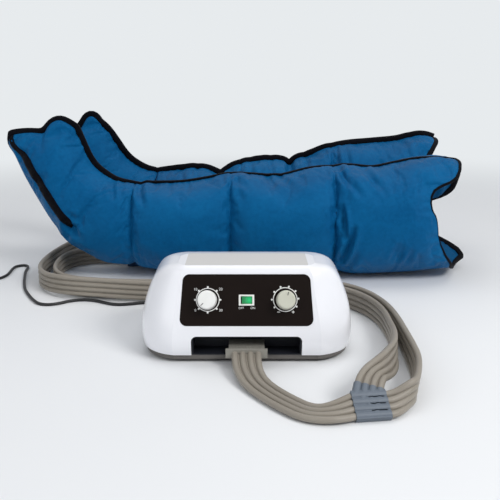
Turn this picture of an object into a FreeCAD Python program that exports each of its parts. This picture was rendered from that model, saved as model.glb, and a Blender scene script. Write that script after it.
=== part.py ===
"""Compression therapy pump with its hose set and a pair of four-chamber leg boots.

Everything is in millimetres, +Z up.  Lengths that a designer would change are in the DIMENSIONS
table, which becomes the document's spreadsheet; each piece is modelled about a local origin and
then seated.  The origin of the whole is the bottom centre of the pump and boots together.
"""
import FreeCAD, Part
import math
import os
import re

import Sketcher
from FreeCAD import Placement, Rotation, Vector

NODE_FOLDER = "parts"

# name, value, what it is
DIMENSIONS = [
    # pump case
    ("case_half_width", 142.0, "half width of the case at its waist"),
    ("case_front", 93.0, "waist of the front face, ahead of the pump's centre"),
    ("case_back", 94.0, "waist of the back face, behind the pump's centre"),
    ("case_height", 124.0, "top of the case above the floor"),
    ("waist_height", 47.0, "height where the front starts to lean back"),
    ("skirt_height", 11.0, "lower edge of the upper housing"),
    ("front_tilt", 20.0, "lean of the front face, in degrees"),
    ("plateau_half_low", 95.5, "half width of the flat front at the waist"),
    ("plateau_half_top", 84.0, "half width of the flat front at the top"),
    ("wing_angle", 14.0, "angle of the wing from the flat front, in degrees"),
    ("case_wall", 2.5, "wall of the upper housing"),
    # tray, feet and screws
    ("tray_bottom", 3.5, "underside of the tray above the floor"),
    ("tray_wall", 3.0, "thickness of the tray's floor and rim"),
    ("tray_inset", 2.5, "how far the tray's rim stands inside the housing's edge"),
    ("foot_radius", 9.0, "radius of a rubber foot"),
    ("foot_x", 97.0, "feet left and right of the centre"),
    ("foot_y", 62.0, "feet ahead of and behind the centre"),
    ("boss_x", 116.0, "screw bosses left and right of the centre"),
    ("boss_y", 46.0, "screw bosses ahead of and behind the centre"),
    ("boss_radius", 5.0, "radius of a screw boss"),
    ("screw_radius", 1.75, "shank of a case screw"),
    ("screw_head", 3.4, "radius of a case screw's head"),
    ("screw_length", 18.0, "shank length of a case screw"),
    # control panel
    ("panel_half_low", 87.0, "half width of the panel at its lower edge"),
    ("panel_half_top", 82.5, "half width of the panel at its upper edge"),
    ("panel_height", 67.0, "height of the panel along its slope"),
    ("panel_corner", 9.0, "corner radius of the panel"),
    ("panel_thickness", 1.6, "thickness of the panel"),
    ("panel_rise", 38.0, "panel centre above the waist, along the slope"),
    ("fit_gap", 0.3, "clearance between pieces that slide together"),
    # knobs
    ("knob_x", 51.0, "knobs left and right of the centre"),
    ("knob_radius", 12.8, "radius of a knob at its base"),
    ("knob_height", 15.0, "height of a knob"),
    ("knob_gap", 1.0, "gap between a knob and the panel"),
    ("knob_wall", 2.2, "wall of a knob"),
    ("knob_hub", 5.5, "radius of a knob's hub"),
    ("shaft_radius", 3.0, "radius of a knob's shaft"),
    ("shaft_gap", 0.05, "running clearance of a shaft in its bush"),
    ("bush_radius", 4.6, "radius of the threaded bush around a shaft"),
    ("timer_radius", 20.0, "radius of the clockwork timer"),
    ("timer_depth", 26.0, "depth of the clockwork timer"),
    ("regulator_radius", 13.0, "radius of the pressure regulator"),
    ("regulator_depth", 24.0, "depth of the pressure regulator"),
    # rocker switch
    ("bezel_width", 20.0, "width of the switch's frame"),
    ("bezel_tall", 14.0, "height of the switch's frame"),
    ("bezel_rise", 2.0, "how far the frame stands out of the panel"),
    ("rocker_width", 14.4, "width of the rocker"),
    ("rocker_tall", 9.4, "height of the rocker"),
    ("rocker_half", 6.4, "half width of the rocker's top"),
    ("rocker_top", 5.2, "raised edges of the rocker above its pins"),
    ("rocker_dip", 1.4, "depth of the vee across the rocker's top"),
    ("rocker_throw", 8.0, "tilt of the rocker each way from level, in degrees"),
    ("rocker_pin", 1.0, "radius of the rocker's pins"),
    ("rocker_axis", -2.2, "the rocker's pins, out of the panel's face"),
    ("switch_depth", 17.0, "depth of the switch's body behind the panel"),
    # hose bay and plug
    ("bay_half_width", 72.0, "half width of the hose bay"),
    ("bay_top", 38.0, "top of the hose bay"),
    ("bay_back", 62.0, "back wall of the hose bay, ahead of the centre"),
    ("bay_wall", 2.0, "wall of the bay liner"),
    ("bay_corner", 7.0, "corner radius at the top of the bay"),
    ("port_pitch", 10.0, "distance between the air ports"),
    ("port_height", 17.5, "air ports above the floor"),
    ("nipple_radius", 2.6, "outer radius of an air nipple"),
    ("nipple_bore", 1.4, "radius of the bore in an air nipple"),
    ("nipple_length", 12.0, "how far a nipple reaches into the plug"),
    ("seal_thickness", 1.0, "section of the rubber ring around a nipple"),
    ("plug_half_width", 23.5, "half width of the hose plug"),
    ("plug_thickness", 10.0, "thickness of the hose plug"),
    ("plug_front", 100.0, "front of the plug's body, ahead of the centre"),
    ("flange_half_width", 27.0, "half width of the plug's flange"),
    ("flange_thickness", 11.5, "height of the plug's flange"),
    ("flange_depth", 5.0, "depth of the plug's flange"),
    # hoses
    ("hose_radius", 4.0, "outer radius of a hose"),
    ("hose_bore", 2.5, "radius of a hose's bore"),
    ("hose_pitch", 8.6, "distance between the hoses of a ribbon"),
    ("splitter_length", 40.0, "length of the four-way splitter"),
    ("branch_root", 14.0, "where the side outlets' middle leaves, from the splitter's left end"),
    ("branch_angle", 68.0, "angle between the side outlets and the way straight on, in degrees"),
    ("branch_reach", 26.5, "length of the side outlets from the splitter's middle line"),
    ("splitter_thickness", 10.5, "thickness of the splitter"),
    ("splitter_roll", 32.0, "tilt of the splitter, in degrees"),
    ("splitter_yaw", 8.0, "turn of the splitter away from the pump's width, in degrees"),
    ("splitter_x", 118.0, "left end of the splitter, right of the pump's centre"),
    ("splitter_y", -246.0, "centre line of the splitter, from the pump's centre"),
    ("splitter_z", 13.0, "centre line of the splitter above the floor"),
    ("inlet_length", 34.0, "length of a boot's inlet block"),
    ("inlet_width", 32.0, "width of a boot's inlet block"),
    ("inlet_height", 36.0, "height of a boot's inlet block"),
    # air pump inside
    ("drive_x", -20.0, "centre of the air pump, right of the case's centre"),
    ("drive_y", 32.0, "centre of the air pump, behind the case's centre"),
    ("drive_z", 46.0, "axis of the air pump above the floor"),
    ("frame_half", 34.0, "half length of the air pump's frame"),
    ("frame_width", 62.0, "width of the air pump's frame"),
    ("frame_tall", 52.0, "height of the air pump's frame"),
    ("frame_wall", 3.0, "wall of the air pump's frame"),
    ("rod_radius", 3.0, "radius of the armature's rod"),
    ("magnet_length", 24.0, "length of the armature's magnet"),
    ("magnet_width", 12.0, "width of the armature's magnet"),
    ("magnet_tall", 20.0, "height of the armature's magnet"),
    ("diaphragm_radius", 22.0, "radius of a diaphragm"),
    ("diaphragm_thickness", 2.0, "thickness of a diaphragm's rim"),
    ("head_depth", 13.0, "depth of a valve head"),
    ("mount_radius", 6.0, "radius of a rubber mount"),
    ("mount_height", 10.0, "height of a rubber mount"),
    # air distributor inside
    ("valve_inset", 68.0, "distributor's middle, in from the right side of the case"),
    ("valve_y", 12.0, "distributor behind the case's centre"),
    ("valve_radius", 22.0, "radius of the distributor"),
    ("motor_tall", 18.0, "height of the distributor's motor"),
    ("rotor_tall", 8.0, "thickness of the distributor's rotor"),
    ("valve_wall", 3.0, "wall of the distributor"),
    ("lid_pitch", 9.0, "distance between the air outlets on the distributor's lid"),
    ("lid_offset", 8.5, "outlets ahead of and inlet behind the middle of the lid"),
    ("inner_hose", 3.0, "radius of a hose inside the pump"),
    # electrical
    ("board_length", 52.0, "length of the power board"),
    ("board_width", 40.0, "width of the power board"),
    ("board_inset", 39.0, "power board's middle, in from the left side of the case"),
    ("board_y", 2.0, "power board behind the case's centre, its middle"),
    ("gland_x", -84.0, "cord gland left of the case's centre"),
    ("gland_z", 26.0, "cord gland above the floor"),
    ("gland_radius", 6.5, "radius of the cord gland"),
    ("gland_length", 16.0, "how far the gland stands out behind"),
    ("lead_radius", 2.5, "radius of the power lead"),
    ("coil_radius", 28.0, "mid radius of the coiled part of the lead"),
    ("coil_width", 17.0, "width of the coil's bundle"),
    ("coil_height", 11.0, "height of the coil's bundle"),
    # boots
    ("boot_spacing", 192.0, "distance between the boots' middles"),
    ("boot_behind", 350.0, "near boot's middle behind the pump's centre"),
    ("boot_shift", 16.0, "far boot further to the right than the near one"),
    ("boot_wall", 34.0, "thickness of a boot's inflated wall"),
    ("heel_x", -240.0, "ankle of the near boot, from the pump's centre"),
    ("seam_one", -207.0, "seam between foot and calf"),
    ("seam_two", -30.0, "seam between calf and knee"),
    ("seam_three", 155.0, "seam between knee and thigh"),
    ("boot_end", 390.0, "open end of the boot, at its top and bottom"),
    ("mouth_hollow", 42.0, "how far the open end is hollowed at mid height"),
    ("seam_gap", 1.0, "gap between two chambers at a seam"),
    ("ankle_height", 177.0, "height of a boot at its first seam"),
    ("calf_height", 190.0, "height of a boot at its second seam"),
    ("knee_height", 203.0, "height of a boot at its third seam"),
    ("mouth_height", 218.0, "height of the near boot at its open end"),
    ("far_mouth_height", 248.0, "height of the far boot at its open end"),
    ("thigh_swell", 5.0, "rise of the near thigh chamber above a straight line between its ends"),
    ("far_thigh_swell", 12.0, "the same rise on the far boot"),
    ("calf_width", 160.0, "width of the calf chamber"),
    ("knee_width", 180.0, "width of the knee chamber"),
    ("thigh_width", 188.0, "width of the thigh chamber"),
    ("seam_pinch", 5.0, "how far a seam draws a chamber in, top and sides"),
    ("zip_radius", 3.0, "radius of the bound zip edge"),
    ("zip_gap", 1.6, "clearance under the zip edge, which rides over the chambers"),
]

doc = FreeCAD.newDocument("compression_pump")
sheet = doc.addObject("Spreadsheet::Sheet", "Dims")


def fill_sheet():
    for row, (name, value, note) in enumerate(DIMENSIONS + [("origin_x", 0.0, ""), ("origin_y", 0.0, "")], 1):
        sheet.set(f"A{row}", name)
        sheet.set(f"B{row}", str(value))
        sheet.setAlias(f"B{row}", name)
        sheet.set(f"C{row}", note)
    doc.recompute()


fill_sheet()
NAMES = {name for name, _, _ in DIMENSIONS} | {"origin_x", "origin_y"}
D = {name: float(sheet.get(name)) for name in NAMES}


def formula(text):
    """The expression with every name of the sheet spelled out."""
    return re.sub(r"[a-z]\w*", lambda m: "Dims." + m.group(0) if m.group(0) in NAMES else m.group(0), str(text))


def value_of(text):
    """The number that an expression over the sheet's names comes to, worked out by the sheet itself."""
    sheet.set("E1", "=" + str(text))
    sheet.recompute()
    return float(sheet.get("E1"))


def bind(obj, **sizes):
    for prop, text in sizes.items():
        obj.setExpression(prop, formula(text))
    return obj


def at(obj, x="0", y="0", z="0", turn=None):
    """Puts an operand at a place of its own piece's local frame."""
    if turn is not None:
        obj.Placement = Placement(Vector(), turn)
    for axis, text in zip("xyz", (x, y, z)):
        obj.setExpression("Placement.Base." + axis, formula(text))
    return obj


def seat(obj, x="0", y="0", z="0", turn=None):
    """Puts a finished piece in the frame of the whole, from the pump's centre."""
    return at(obj, f"origin_x + {x}", f"origin_y + {y}", z, turn)


# ---------------------------------------------------------------- primitives and booleans

ALONG_X = Rotation(Vector(0, 1, 0), 90)
ALONG_Y = Rotation(Vector(1, 0, 0), -90)
TOWARDS_FRONT = Rotation(Vector(1, 0, 0), 90)


def box(name, length, width, height, x="0", y="0", z="0"):
    obj = doc.addObject("Part::Box", name)
    bind(obj, Length=length, Width=width, Height=height)
    return at(obj, x, y, z)


def centred_box(name, length, width, height, x="0", y="0", z="0"):
    return box(name, length, width, height, f"{x} - ({length})/2", f"{y} - ({width})/2", z)


def cylinder(name, radius, height, x="0", y="0", z="0", turn=None):
    obj = doc.addObject("Part::Cylinder", name)
    bind(obj, Radius=radius, Height=height)
    return at(obj, x, y, z, turn)


def fuse(name, shapes):
    obj = doc.addObject("Part::MultiFuse", name)
    obj.Shapes = shapes
    return obj


def cut(name, base, tools):
    obj = doc.addObject("Part::Cut", name)
    obj.Base = base
    obj.Tool = tools[0] if len(tools) == 1 else fuse(name + "_tools", tools)
    return obj


def group(name, shapes):
    """Several separate solids of one piece."""
    obj = doc.addObject("Part::Compound", name)
    obj.Links = shapes
    return obj


def rounded(name, base, radius, chosen):
    """Fillets the edges of a base for which chosen(edge) is true."""
    doc.recompute()
    obj = doc.addObject("Part::Fillet", name)
    obj.Base = base
    obj.Edges = [(i, radius, radius) for i, edge in enumerate(base.Shape.Edges, 1) if chosen(edge)]
    return obj


def feature(name, shape):
    obj = doc.addObject("Part::Feature", name)
    obj.Shape = shape
    return obj


# ---------------------------------------------------------------- PartDesign bodies

def body(name):
    return doc.addObject("PartDesign::Body", name)


def sketch_on(owner, name, role, offset="0"):
    """A sketch on one of its own body's origin planes."""
    plane = next(f for f in owner.Origin.OriginFeatures if f.Role == role)
    sketch = owner.newObject("Sketcher::SketchObject", name)
    sketch.AttachmentSupport = [(plane, "")]
    sketch.MapMode = "FlatFace"
    sketch.setExpression("AttachmentOffset.Base.z", formula(offset))
    return sketch


def profile(sketch, points):
    """A closed outline of straight lines through points whose coordinates are expressions."""
    places = [(value_of(x), value_of(y)) for x, y in points]
    count = len(places)
    for i in range(count):
        a, b = places[i], places[(i + 1) % count]
        sketch.addGeometry(Part.LineSegment(Vector(*a, 0), Vector(*b, 0)), False)
    for i in range(count):
        sketch.addConstraint(Sketcher.Constraint("Coincident", i, 2, (i + 1) % count, 1))
    for i, (x, y) in enumerate(points):
        for kind, text, value in (("DistanceX", x, places[i][0]), ("DistanceY", y, places[i][1])):
            index = sketch.addConstraint(Sketcher.Constraint(kind, -1, 1, i, 1, value))
            sketch.setExpression(f"Constraints[{index}]", formula(text))
    return sketch


def circle(sketch, radius, x="0", y="0"):
    centre = Vector(value_of(x), value_of(y), 0)
    g = sketch.addGeometry(Part.Circle(centre, Vector(0, 0, 1), value_of(radius)), False)
    index = sketch.addConstraint(Sketcher.Constraint("Radius", g, value_of(radius)))
    sketch.setExpression(f"Constraints[{index}]", formula(radius))
    for kind, text, value in (("DistanceX", x, centre.x), ("DistanceY", y, centre.y)):
        index = sketch.addConstraint(Sketcher.Constraint(kind, -1, 1, g, 3, value))
        sketch.setExpression(f"Constraints[{index}]", formula(text))
    return sketch


def pad(owner, name, sketch, length, reverse=False, midplane=False):
    obj = owner.newObject("PartDesign::Pad", name)
    obj.Profile = sketch
    obj.Reversed = reverse
    obj.Midplane = midplane
    return bind(obj, Length=length)


def pocket(owner, name, sketch, length, reverse=False):
    obj = owner.newObject("PartDesign::Pocket", name)
    obj.Profile = sketch
    obj.Reversed = reverse
    return bind(obj, Length=length)


def revolve(owner, name, sketch):
    """A full turn about the sketch's own vertical axis."""
    obj = owner.newObject("PartDesign::Revolution", name)
    obj.Profile = sketch
    obj.ReferenceAxis = (sketch, ["V_Axis"])
    obj.Angle = 360
    return obj


def upright(edge):
    """True for an edge along the local Z."""
    along = edge.tangentAt(edge.FirstParameter)
    return abs(abs(along.z) - 1) < 1e-6


def turned(name, outline):
    """A body of revolution about local Z, from (radius, height) points."""
    owner = body(name)
    sketch = sketch_on(owner, name + "_profile", "XZ_Plane")
    profile(sketch, outline)
    revolve(owner, name + "_turn", sketch)
    return owner


# ---------------------------------------------------------------- case

def tilt_rise():
    """Rise of the front face from the waist to the top of the case, and how far it leans back over that."""
    rise = D["case_height"] - D["waist_height"]
    return rise, rise * math.tan(math.radians(D["front_tilt"]))


def levels():
    """Plan sections of the case: height, half width, half width of the flat front, front, back, back corner."""
    rise, lean = tilt_rise()
    wide, low, top = D["case_half_width"], D["plateau_half_low"], D["plateau_half_top"]
    front, back, waist = D["case_front"], D["case_back"], D["waist_height"]

    def up(share, width, shrink, behind, corner, extra=0.0):
        flat = low + (top - low) * share
        ahead = lean * share - front + extra
        return (waist + rise * share, wide * width, flat - shrink, ahead, back * behind, corner)

    return [
        (D["skirt_height"], wide - 2.5, low, 1.5 - front, back - 2.0, 40.0),
        up(0.0, 1.000, 0, 1.00, 42.0),
        up(0.46, 0.944, 0, 0.86, 40.0),
        up(0.74, 0.873, 0, 0.66, 36.0),
        up(0.90, 0.796, 0, 0.45, 30.0, 0.3),
        up(0.96, 0.722, 2.0, 0.28, 24.0, 1.4),
        up(1.0, 0.640, 6.0, 0.06, 18.0, 5.0),
    ]


def plan_wire(level, inset, height):
    """A closed plan outline: flat front, swept wings, straight sides and rounded back corners."""
    _, wide, flat, front, back, corner = level
    wide, front, back, corner = wide - inset, front + inset, back - inset, max(corner - inset, 2.0)
    flat = min(flat, wide - 4.0)
    a = math.radians(D["wing_angle"])
    radius = (wide - flat) / (1 - math.sin(a))
    side = front + radius * math.cos(a)
    mid = (a + math.pi / 2) / 2

    def on_wing(angle, sign):
        return Vector(sign * (flat + radius * (math.sin(angle) - math.sin(a))),
                      front + radius * (math.cos(a) - math.cos(angle)), height)

    def on_corner(angle, sign):
        return Vector(sign * (wide - corner + corner * math.cos(angle)),
                      back - corner + corner * math.sin(angle), height)

    quarter = math.pi / 2
    edges = [
        Part.LineSegment(Vector(-flat, front, height), Vector(flat, front, height)),
        Part.Arc(Vector(flat, front, height), on_wing(mid, 1),
                 Vector(wide, side, height)),
        Part.LineSegment(Vector(wide, side, height), on_corner(0, 1)),
        Part.Arc(on_corner(0, 1), on_corner(quarter / 2, 1), on_corner(quarter, 1)),
        Part.LineSegment(on_corner(quarter, 1), on_corner(quarter, -1)),
        Part.Arc(on_corner(quarter, -1), on_corner(quarter / 2, -1), on_corner(0, -1)),
        Part.LineSegment(on_corner(0, -1), Vector(-wide, side, height)),
        Part.Arc(Vector(-wide, side, height), on_wing(mid, -1),
                 Vector(-flat, front, height)),
    ]
    return Part.Wire([edge.toShape() for edge in edges])


def case_loft(inset, bottom, roof):
    """The solid inside the case's plan sections, with its walls moved in and its roof lowered."""
    wires = []
    for level in levels():
        height = level[0] if level[0] > D["skirt_height"] else bottom
        if roof > 0 and height > D["waist_height"]:
            height -= roof * (height - D["waist_height"]) / (D["case_height"] - D["waist_height"])
        wires.append(plan_wire(level, inset, height))
    return Part.makeLoft(wires, True, False)


def panel_frame(x=0.0, rise=0.0, out=0.0):
    """Placement on the front face: local X right, Y up the slope, Z out of the face."""
    tilt = math.radians(D["front_tilt"])
    along = D["panel_rise"] + rise
    place = Vector(x, -D["case_front"] + along * math.sin(tilt) - out * math.cos(tilt),
                   D["waist_height"] + along * math.cos(tilt) + out * math.sin(tilt))
    return Placement(place, Rotation(Vector(1, 0, 0), 90 - D["front_tilt"]))


def seat_on_panel(obj, x="0", out="0", turn=Rotation()):
    """Seats a finished piece whose local Z points out of the front face, at the knobs' height."""
    obj.Placement = Placement(Vector(), panel_frame().Rotation * turn)
    lean, up = "sin(front_tilt * pi / 180 * 1rad)", "cos(front_tilt * pi / 180 * 1rad)"
    for axis, text in (
        ("x", f"origin_x + {x}"),
        ("y", f"origin_y - case_front + panel_rise * {lean} - ({out}) * {up}"),
        ("z", f"waist_height + panel_rise * {up} + ({out}) * {lean}"),
    ):
        obj.setExpression("Placement.Base." + axis, formula(text))
    return obj


def panel_prism(grow, depth):
    """The panel's outline as a solid about its own centre, its outer face at local Z 0."""
    low, top, half = D["panel_half_low"] + grow, D["panel_half_top"] + grow, D["panel_height"] / 2 + grow
    corners = [(-low, -half), (low, -half), (top, half), (-top, half)]
    wire = Part.makePolygon([Vector(x, y, -depth) for x, y in corners + corners[:1]])
    solid = Part.Face(wire).extrude(Vector(0, 0, depth))
    sides = [e for e in solid.Edges if abs(e.tangentAt(e.FirstParameter).z) > 0.99]
    return solid.makeFillet(D["panel_corner"] + grow, sides)


def bay_prism(inset, front, back, floor):
    """The hose bay as a solid with round upper corners, between two distances ahead of the centre."""
    half, top = D["bay_half_width"] - inset, D["bay_top"] - inset
    solid = Part.makeBox(2 * half, front - back, top - floor, Vector(-half, -front, floor))
    tops = [e for e in solid.Edges
            if abs(e.tangentAt(e.FirstParameter).y) > 0.99 and e.CenterOfMass.z > top - 0.1]
    return solid.makeFillet(max(D["bay_corner"] - inset, 1.0), tops)


def four_corners(x, y):
    return [(sx * x, sy * y) for sx in (-1, 1) for sy in (-1, 1)]


def upper_housing():
    wall = D["case_wall"]
    outer = case_loft(0.0, D["skirt_height"], 0.0)
    inner = case_loft(wall, D["skirt_height"] - 1.0, wall)
    shell = outer.cut(inner)
    for x, y in four_corners(D["boss_x"], D["boss_y"]):
        post = Part.makeCylinder(D["boss_radius"], D["case_height"], Vector(x, y, D["skirt_height"] + wall + 2.0))
        shell = shell.fuse(post.common(outer))
        pilot = Part.makeCylinder(D["screw_radius"], D["screw_length"], Vector(x, y, D["skirt_height"]))
        shell = shell.cut(pilot)
    backing = panel_prism(3.0, wall)
    backing.Placement = panel_frame(out=-D["panel_thickness"])
    shell = shell.fuse(backing.common(outer))
    recess = panel_prism(D["fit_gap"], D["panel_thickness"] + 20.0)
    recess.Placement = panel_frame(out=20.0)
    shell = shell.cut(recess)
    shell = shell.cut(bay_prism(0.0, D["case_front"] + 20.0, D["bay_back"] - 10.0, 0.0))
    for x in (-D["knob_x"], D["knob_x"]):
        hole = Part.makeCylinder(D["bush_radius"] + D["fit_gap"], 20.0, Vector(0, 0, -15.0))
        hole.Placement = panel_frame(x)
        shell = shell.cut(hole)
    wide, tall = D["bezel_width"] - 2.0, D["bezel_tall"] - 2.0
    window = Part.makeBox(wide, tall, 20.0, Vector(-wide / 2, -tall / 2, -15.0))
    window.Placement = panel_frame()
    shell = shell.cut(window)
    gland = Part.makeCylinder(D["gland_radius"] - 1.5 + D["fit_gap"], 60.0,
                              Vector(D["gland_x"], D["case_back"] - 30.0, D["gland_z"]), Vector(0, 1, 0))
    return feature("upper_housing", shell.cut(gland))


def base_tray():
    wall, bottom, skirt = D["tray_wall"], D["tray_bottom"], D["skirt_height"]
    section = levels()[0]

    def slab(inset, low, high):
        return Part.Face(plan_wire(section, inset, low)).extrude(Vector(0, 0, high - low))

    solid = slab(D["tray_inset"], bottom, skirt)
    edges = [e for e in solid.Edges if abs(e.BoundBox.ZMax - bottom) < 1e-6]
    solid = solid.makeFillet(wall, edges)
    lip = slab(D["case_wall"] + D["fit_gap"], skirt - 1.0, skirt + 4.0)
    gap = D["bay_half_width"] + D["fit_gap"]
    lip = lip.cut(Part.makeBox(2 * gap, 80.0, 20.0, Vector(-gap, -D["case_front"] - 10.0, skirt)))
    solid = solid.fuse(lip).cut(slab(D["tray_inset"] + wall, bottom + wall, skirt + 10.0))
    for x, y in four_corners(D["boss_x"], D["boss_y"]):
        boss = Part.makeCylinder(D["boss_radius"], skirt + D["case_wall"] + 2.0 - bottom, Vector(x, y, bottom))
        hole = Part.makeCylinder(D["screw_radius"] + D["fit_gap"], 60.0, Vector(x, y, 0))
        sink = Part.makeCylinder(D["screw_head"] + D["fit_gap"], bottom + wall, Vector(x, y, 0))
        solid = solid.fuse(boss).cut(hole).cut(sink)
    for x, y in four_corners(D["foot_x"], D["foot_y"]):
        solid = solid.cut(Part.makeCylinder(D["foot_radius"] / 2 + 0.1, 60.0, Vector(x, y, 0)))
    for x, y in drive_mounts():
        post = Part.makeCylinder(D["mount_radius"], mount_floor() - bottom - 0.5, Vector(x, y, bottom + 0.5))
        solid = solid.fuse(post)
    for number in range(-4, 5):
        slot = Part.makeBox(4.0, 30.0, 20.0, Vector(D["drive_x"] + number * 9.0 - 2.0, D["drive_y"] - 15.0, 0))
        solid = solid.cut(slot)
    return feature("base_tray", solid)


def drive_mounts():
    """The air pump's four feet."""
    x, y = D["frame_half"] - D["mount_radius"], D["frame_width"] / 2 - D["mount_radius"]
    return [(D["drive_x"] + dx, D["drive_y"] + dy) for dx, dy in four_corners(x, y)]


def mount_floor():
    """Height of the bosses under the air pump's rubber mounts."""
    return D["drive_z"] - D["frame_tall"] / 2 - D["mount_height"]


def rubber_feet():
    feet = []
    for number, (sx, sy) in enumerate(four_corners(1, 1), 1):
        pad_part = cylinder(f"foot_pad_{number}", "foot_radius", "tray_bottom")
        stem = cylinder(f"foot_stem_{number}", "foot_radius/2", "tray_bottom + tray_wall + 2")
        foot = fuse(f"foot_{number}", [pad_part, stem])
        feet.append(at(foot, f"{sx} * foot_x", f"{sy} * foot_y"))
    return seat(group("rubber_feet", feet))


def case_screws():
    screws = []
    for number, (sx, sy) in enumerate(four_corners(1, 1), 1):
        shank = cylinder(f"shank_{number}", "screw_radius", "screw_length", z="tray_bottom + tray_wall")
        head = cylinder(f"head_{number}", "screw_head", "2.2", z="tray_bottom + tray_wall - 2.2")
        slot = centred_box(f"slot_{number}", "5", "0.8", "1", z="tray_bottom + tray_wall - 2.4")
        screw = cut(f"screw_{number}", fuse(f"blank_{number}", [shank, head]), [slot])
        screws.append(at(screw, f"{sx} * boss_x", f"{sy} * boss_y"))
    return seat(group("case_screws", screws))


# ---------------------------------------------------------------- front panel

def control_panel():
    solid = panel_prism(0.0, D["panel_thickness"])
    for x in (-D["knob_x"], D["knob_x"]):
        solid = solid.cut(Part.makeCylinder(D["bush_radius"] + D["fit_gap"], 9.0, Vector(x, 0, -5)))
    wide, tall = D["bezel_width"] - 2.0, D["bezel_tall"] - 2.0
    solid = solid.cut(Part.makeBox(wide, tall, 9.0, Vector(-wide / 2, -tall / 2, -5)))
    return seat_on_panel(feature("control_panel", solid))


def knob(name, x, pointer):
    """A domed knob with a pointer groove at an angle, a hollow back and a hub on the shaft."""
    owner = body(name)
    sketch = sketch_on(owner, name + "_profile", "XZ_Plane")
    profile(sketch, [
        ("shaft_radius", "knob_gap + 4"),
        ("shaft_radius", "knob_gap + knob_height - 3"),
        ("0.001", "knob_gap + knob_height - 3"),
        ("0.001", "knob_gap + knob_height"),
        ("knob_radius - 2.4", "knob_gap + knob_height"),
        ("knob_radius - 1.0", "knob_gap + knob_height - 1.2"),
        ("knob_radius", "knob_gap"),
        ("knob_radius - knob_wall", "knob_gap"),
        ("knob_radius - knob_wall", "knob_gap + knob_height - 4"),
        ("knob_hub", "knob_gap + knob_height - 4"),
        ("knob_hub", "knob_gap + 4"),
    ])
    revolve(owner, name + "_turn", sketch)
    mark = sketch_on(owner, name + "_mark", "XY_Plane", "knob_gap + knob_height - 0.6")
    c, n = round(math.cos(math.radians(pointer)), 6), round(math.sin(math.radians(pointer)), 6)
    corners = [("(knob_radius - 6)", -0.5), ("(knob_radius - 3)", -0.5), ("(knob_radius - 3)", 0.5),
               ("(knob_radius - 6)", 0.5)]
    profile(mark, [(f"{c} * {along} - {n * side}", f"{n} * {along} + {c * side}") for along, side in corners])
    pocket(owner, name + "_groove", mark, "2", reverse=True)
    return seat_on_panel(owner, x)


def shaft(name, x):
    """A knob's shaft, from inside the control up into the knob's hub."""
    rod = cylinder(name + "_rod", "shaft_radius", "knob_gap + knob_height - 3.2 + 12", z="-12")
    return seat_on_panel(group(name, [rod]), x)


def control(name, x, radius, depth):
    """A clockwork timer or a pressure regulator behind the panel, with a threaded bush around its shaft."""
    owner = body(name)
    sketch = sketch_on(owner, name + "_round", "XY_Plane", "-panel_thickness - case_wall - 0.6")
    circle(sketch, radius)
    pad(owner, name + "_case", sketch, depth, reverse=True)
    bush = sketch_on(owner, name + "_bush_round", "XY_Plane", "-panel_thickness - case_wall - 0.8")
    circle(bush, "bush_radius")
    pad(owner, name + "_bush", bush, "panel_thickness + case_wall + 0.8 + knob_gap + 1.5")
    bore = sketch_on(owner, name + "_bore_round", "XY_Plane", "-12.5")
    circle(bore, "shaft_radius + shaft_gap")
    pocket(owner, name + "_bore", bore, "30", reverse=True)
    return seat_on_panel(owner, x)


def switch_bezel():
    """The switch's frame on the panel, with the rocker's window and its pin holes."""
    frame = centred_box("bezel_frame", "bezel_width", "bezel_tall", "bezel_rise", z="0")
    neck = centred_box("bezel_neck", "bezel_width - 2.4", "bezel_tall - 2.4", "6", z="-6")
    window = centred_box("bezel_window", "rocker_width + 2*fit_gap", "rocker_tall + 2*fit_gap", "20", z="-10")
    holes = cylinder("bezel_pin_hole", "rocker_pin + shaft_gap", "rocker_tall + 2*fit_gap + 1.6", "0",
                     "(rocker_tall + 2*fit_gap + 1.6)/2", "rocker_axis", TOWARDS_FRONT)
    return seat_on_panel(cut("switch_bezel", fuse("bezel_blank", [frame, neck]), [window, holes]))


def switch_body():
    block = centred_box("switch_block", "bezel_width - 2.4", "bezel_tall - 2.4", "switch_depth - 6.2",
                        z="-switch_depth")
    legs = [centred_box(f"switch_leg_{n}", "0.8", "4.8", "8", f"{n - 2} * 6", "0", "-switch_depth - 7")
            for n in (1, 2, 3)]
    return seat_on_panel(fuse("switch_body", [block] + legs))


def switch_rocker():
    """A key with a shallow vee across its top and a pin at each end, tipped to ON, its right side down."""
    owner = body("switch_rocker")
    sketch = sketch_on(owner, "rocker_profile", "XZ_Plane")
    profile(sketch, [("-rocker_half", "-2"), ("rocker_half", "-2"), ("rocker_half", "rocker_top"),
                     ("0", "rocker_top - rocker_dip"), ("-rocker_half", "rocker_top")])
    pad(owner, "rocker_key", sketch, "rocker_tall", midplane=True)
    pins = sketch_on(owner, "rocker_pins_round", "XZ_Plane")
    circle(pins, "rocker_pin")
    pad(owner, "rocker_pins", pins, "rocker_tall + 2*fit_gap + 1.2", midplane=True)
    return seat_on_panel(owner, out="rocker_axis", turn=Rotation(Vector(0, 1, 0), D["rocker_throw"]))


# ---------------------------------------------------------------- hose bay

def port_places():
    return [(n - 1.5) * D["port_pitch"] for n in range(4)]


def bay_liner():
    wall, gap, floor = D["bay_wall"], D["fit_gap"], D["skirt_height"] + D["fit_gap"]
    front, back = D["case_front"] - 3.0, D["bay_back"] - wall
    solid = bay_prism(gap, front, back, floor)
    solid = solid.cut(bay_prism(gap + wall, front + 5, D["bay_back"], floor + 1.2))
    for x in port_places():
        start = Vector(x, -back - 10, D["port_height"])
        solid = solid.cut(Part.makeCylinder(D["nipple_radius"] + gap, 20.0, start, Vector(0, 1, 0)))
    blank = Part.makeBox(15.0, 1.0, 11.0, Vector(-46.0, -D["bay_back"] - 1.0, floor + 1.2))
    return seat(feature("bay_liner", solid.fuse(blank)))


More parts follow.
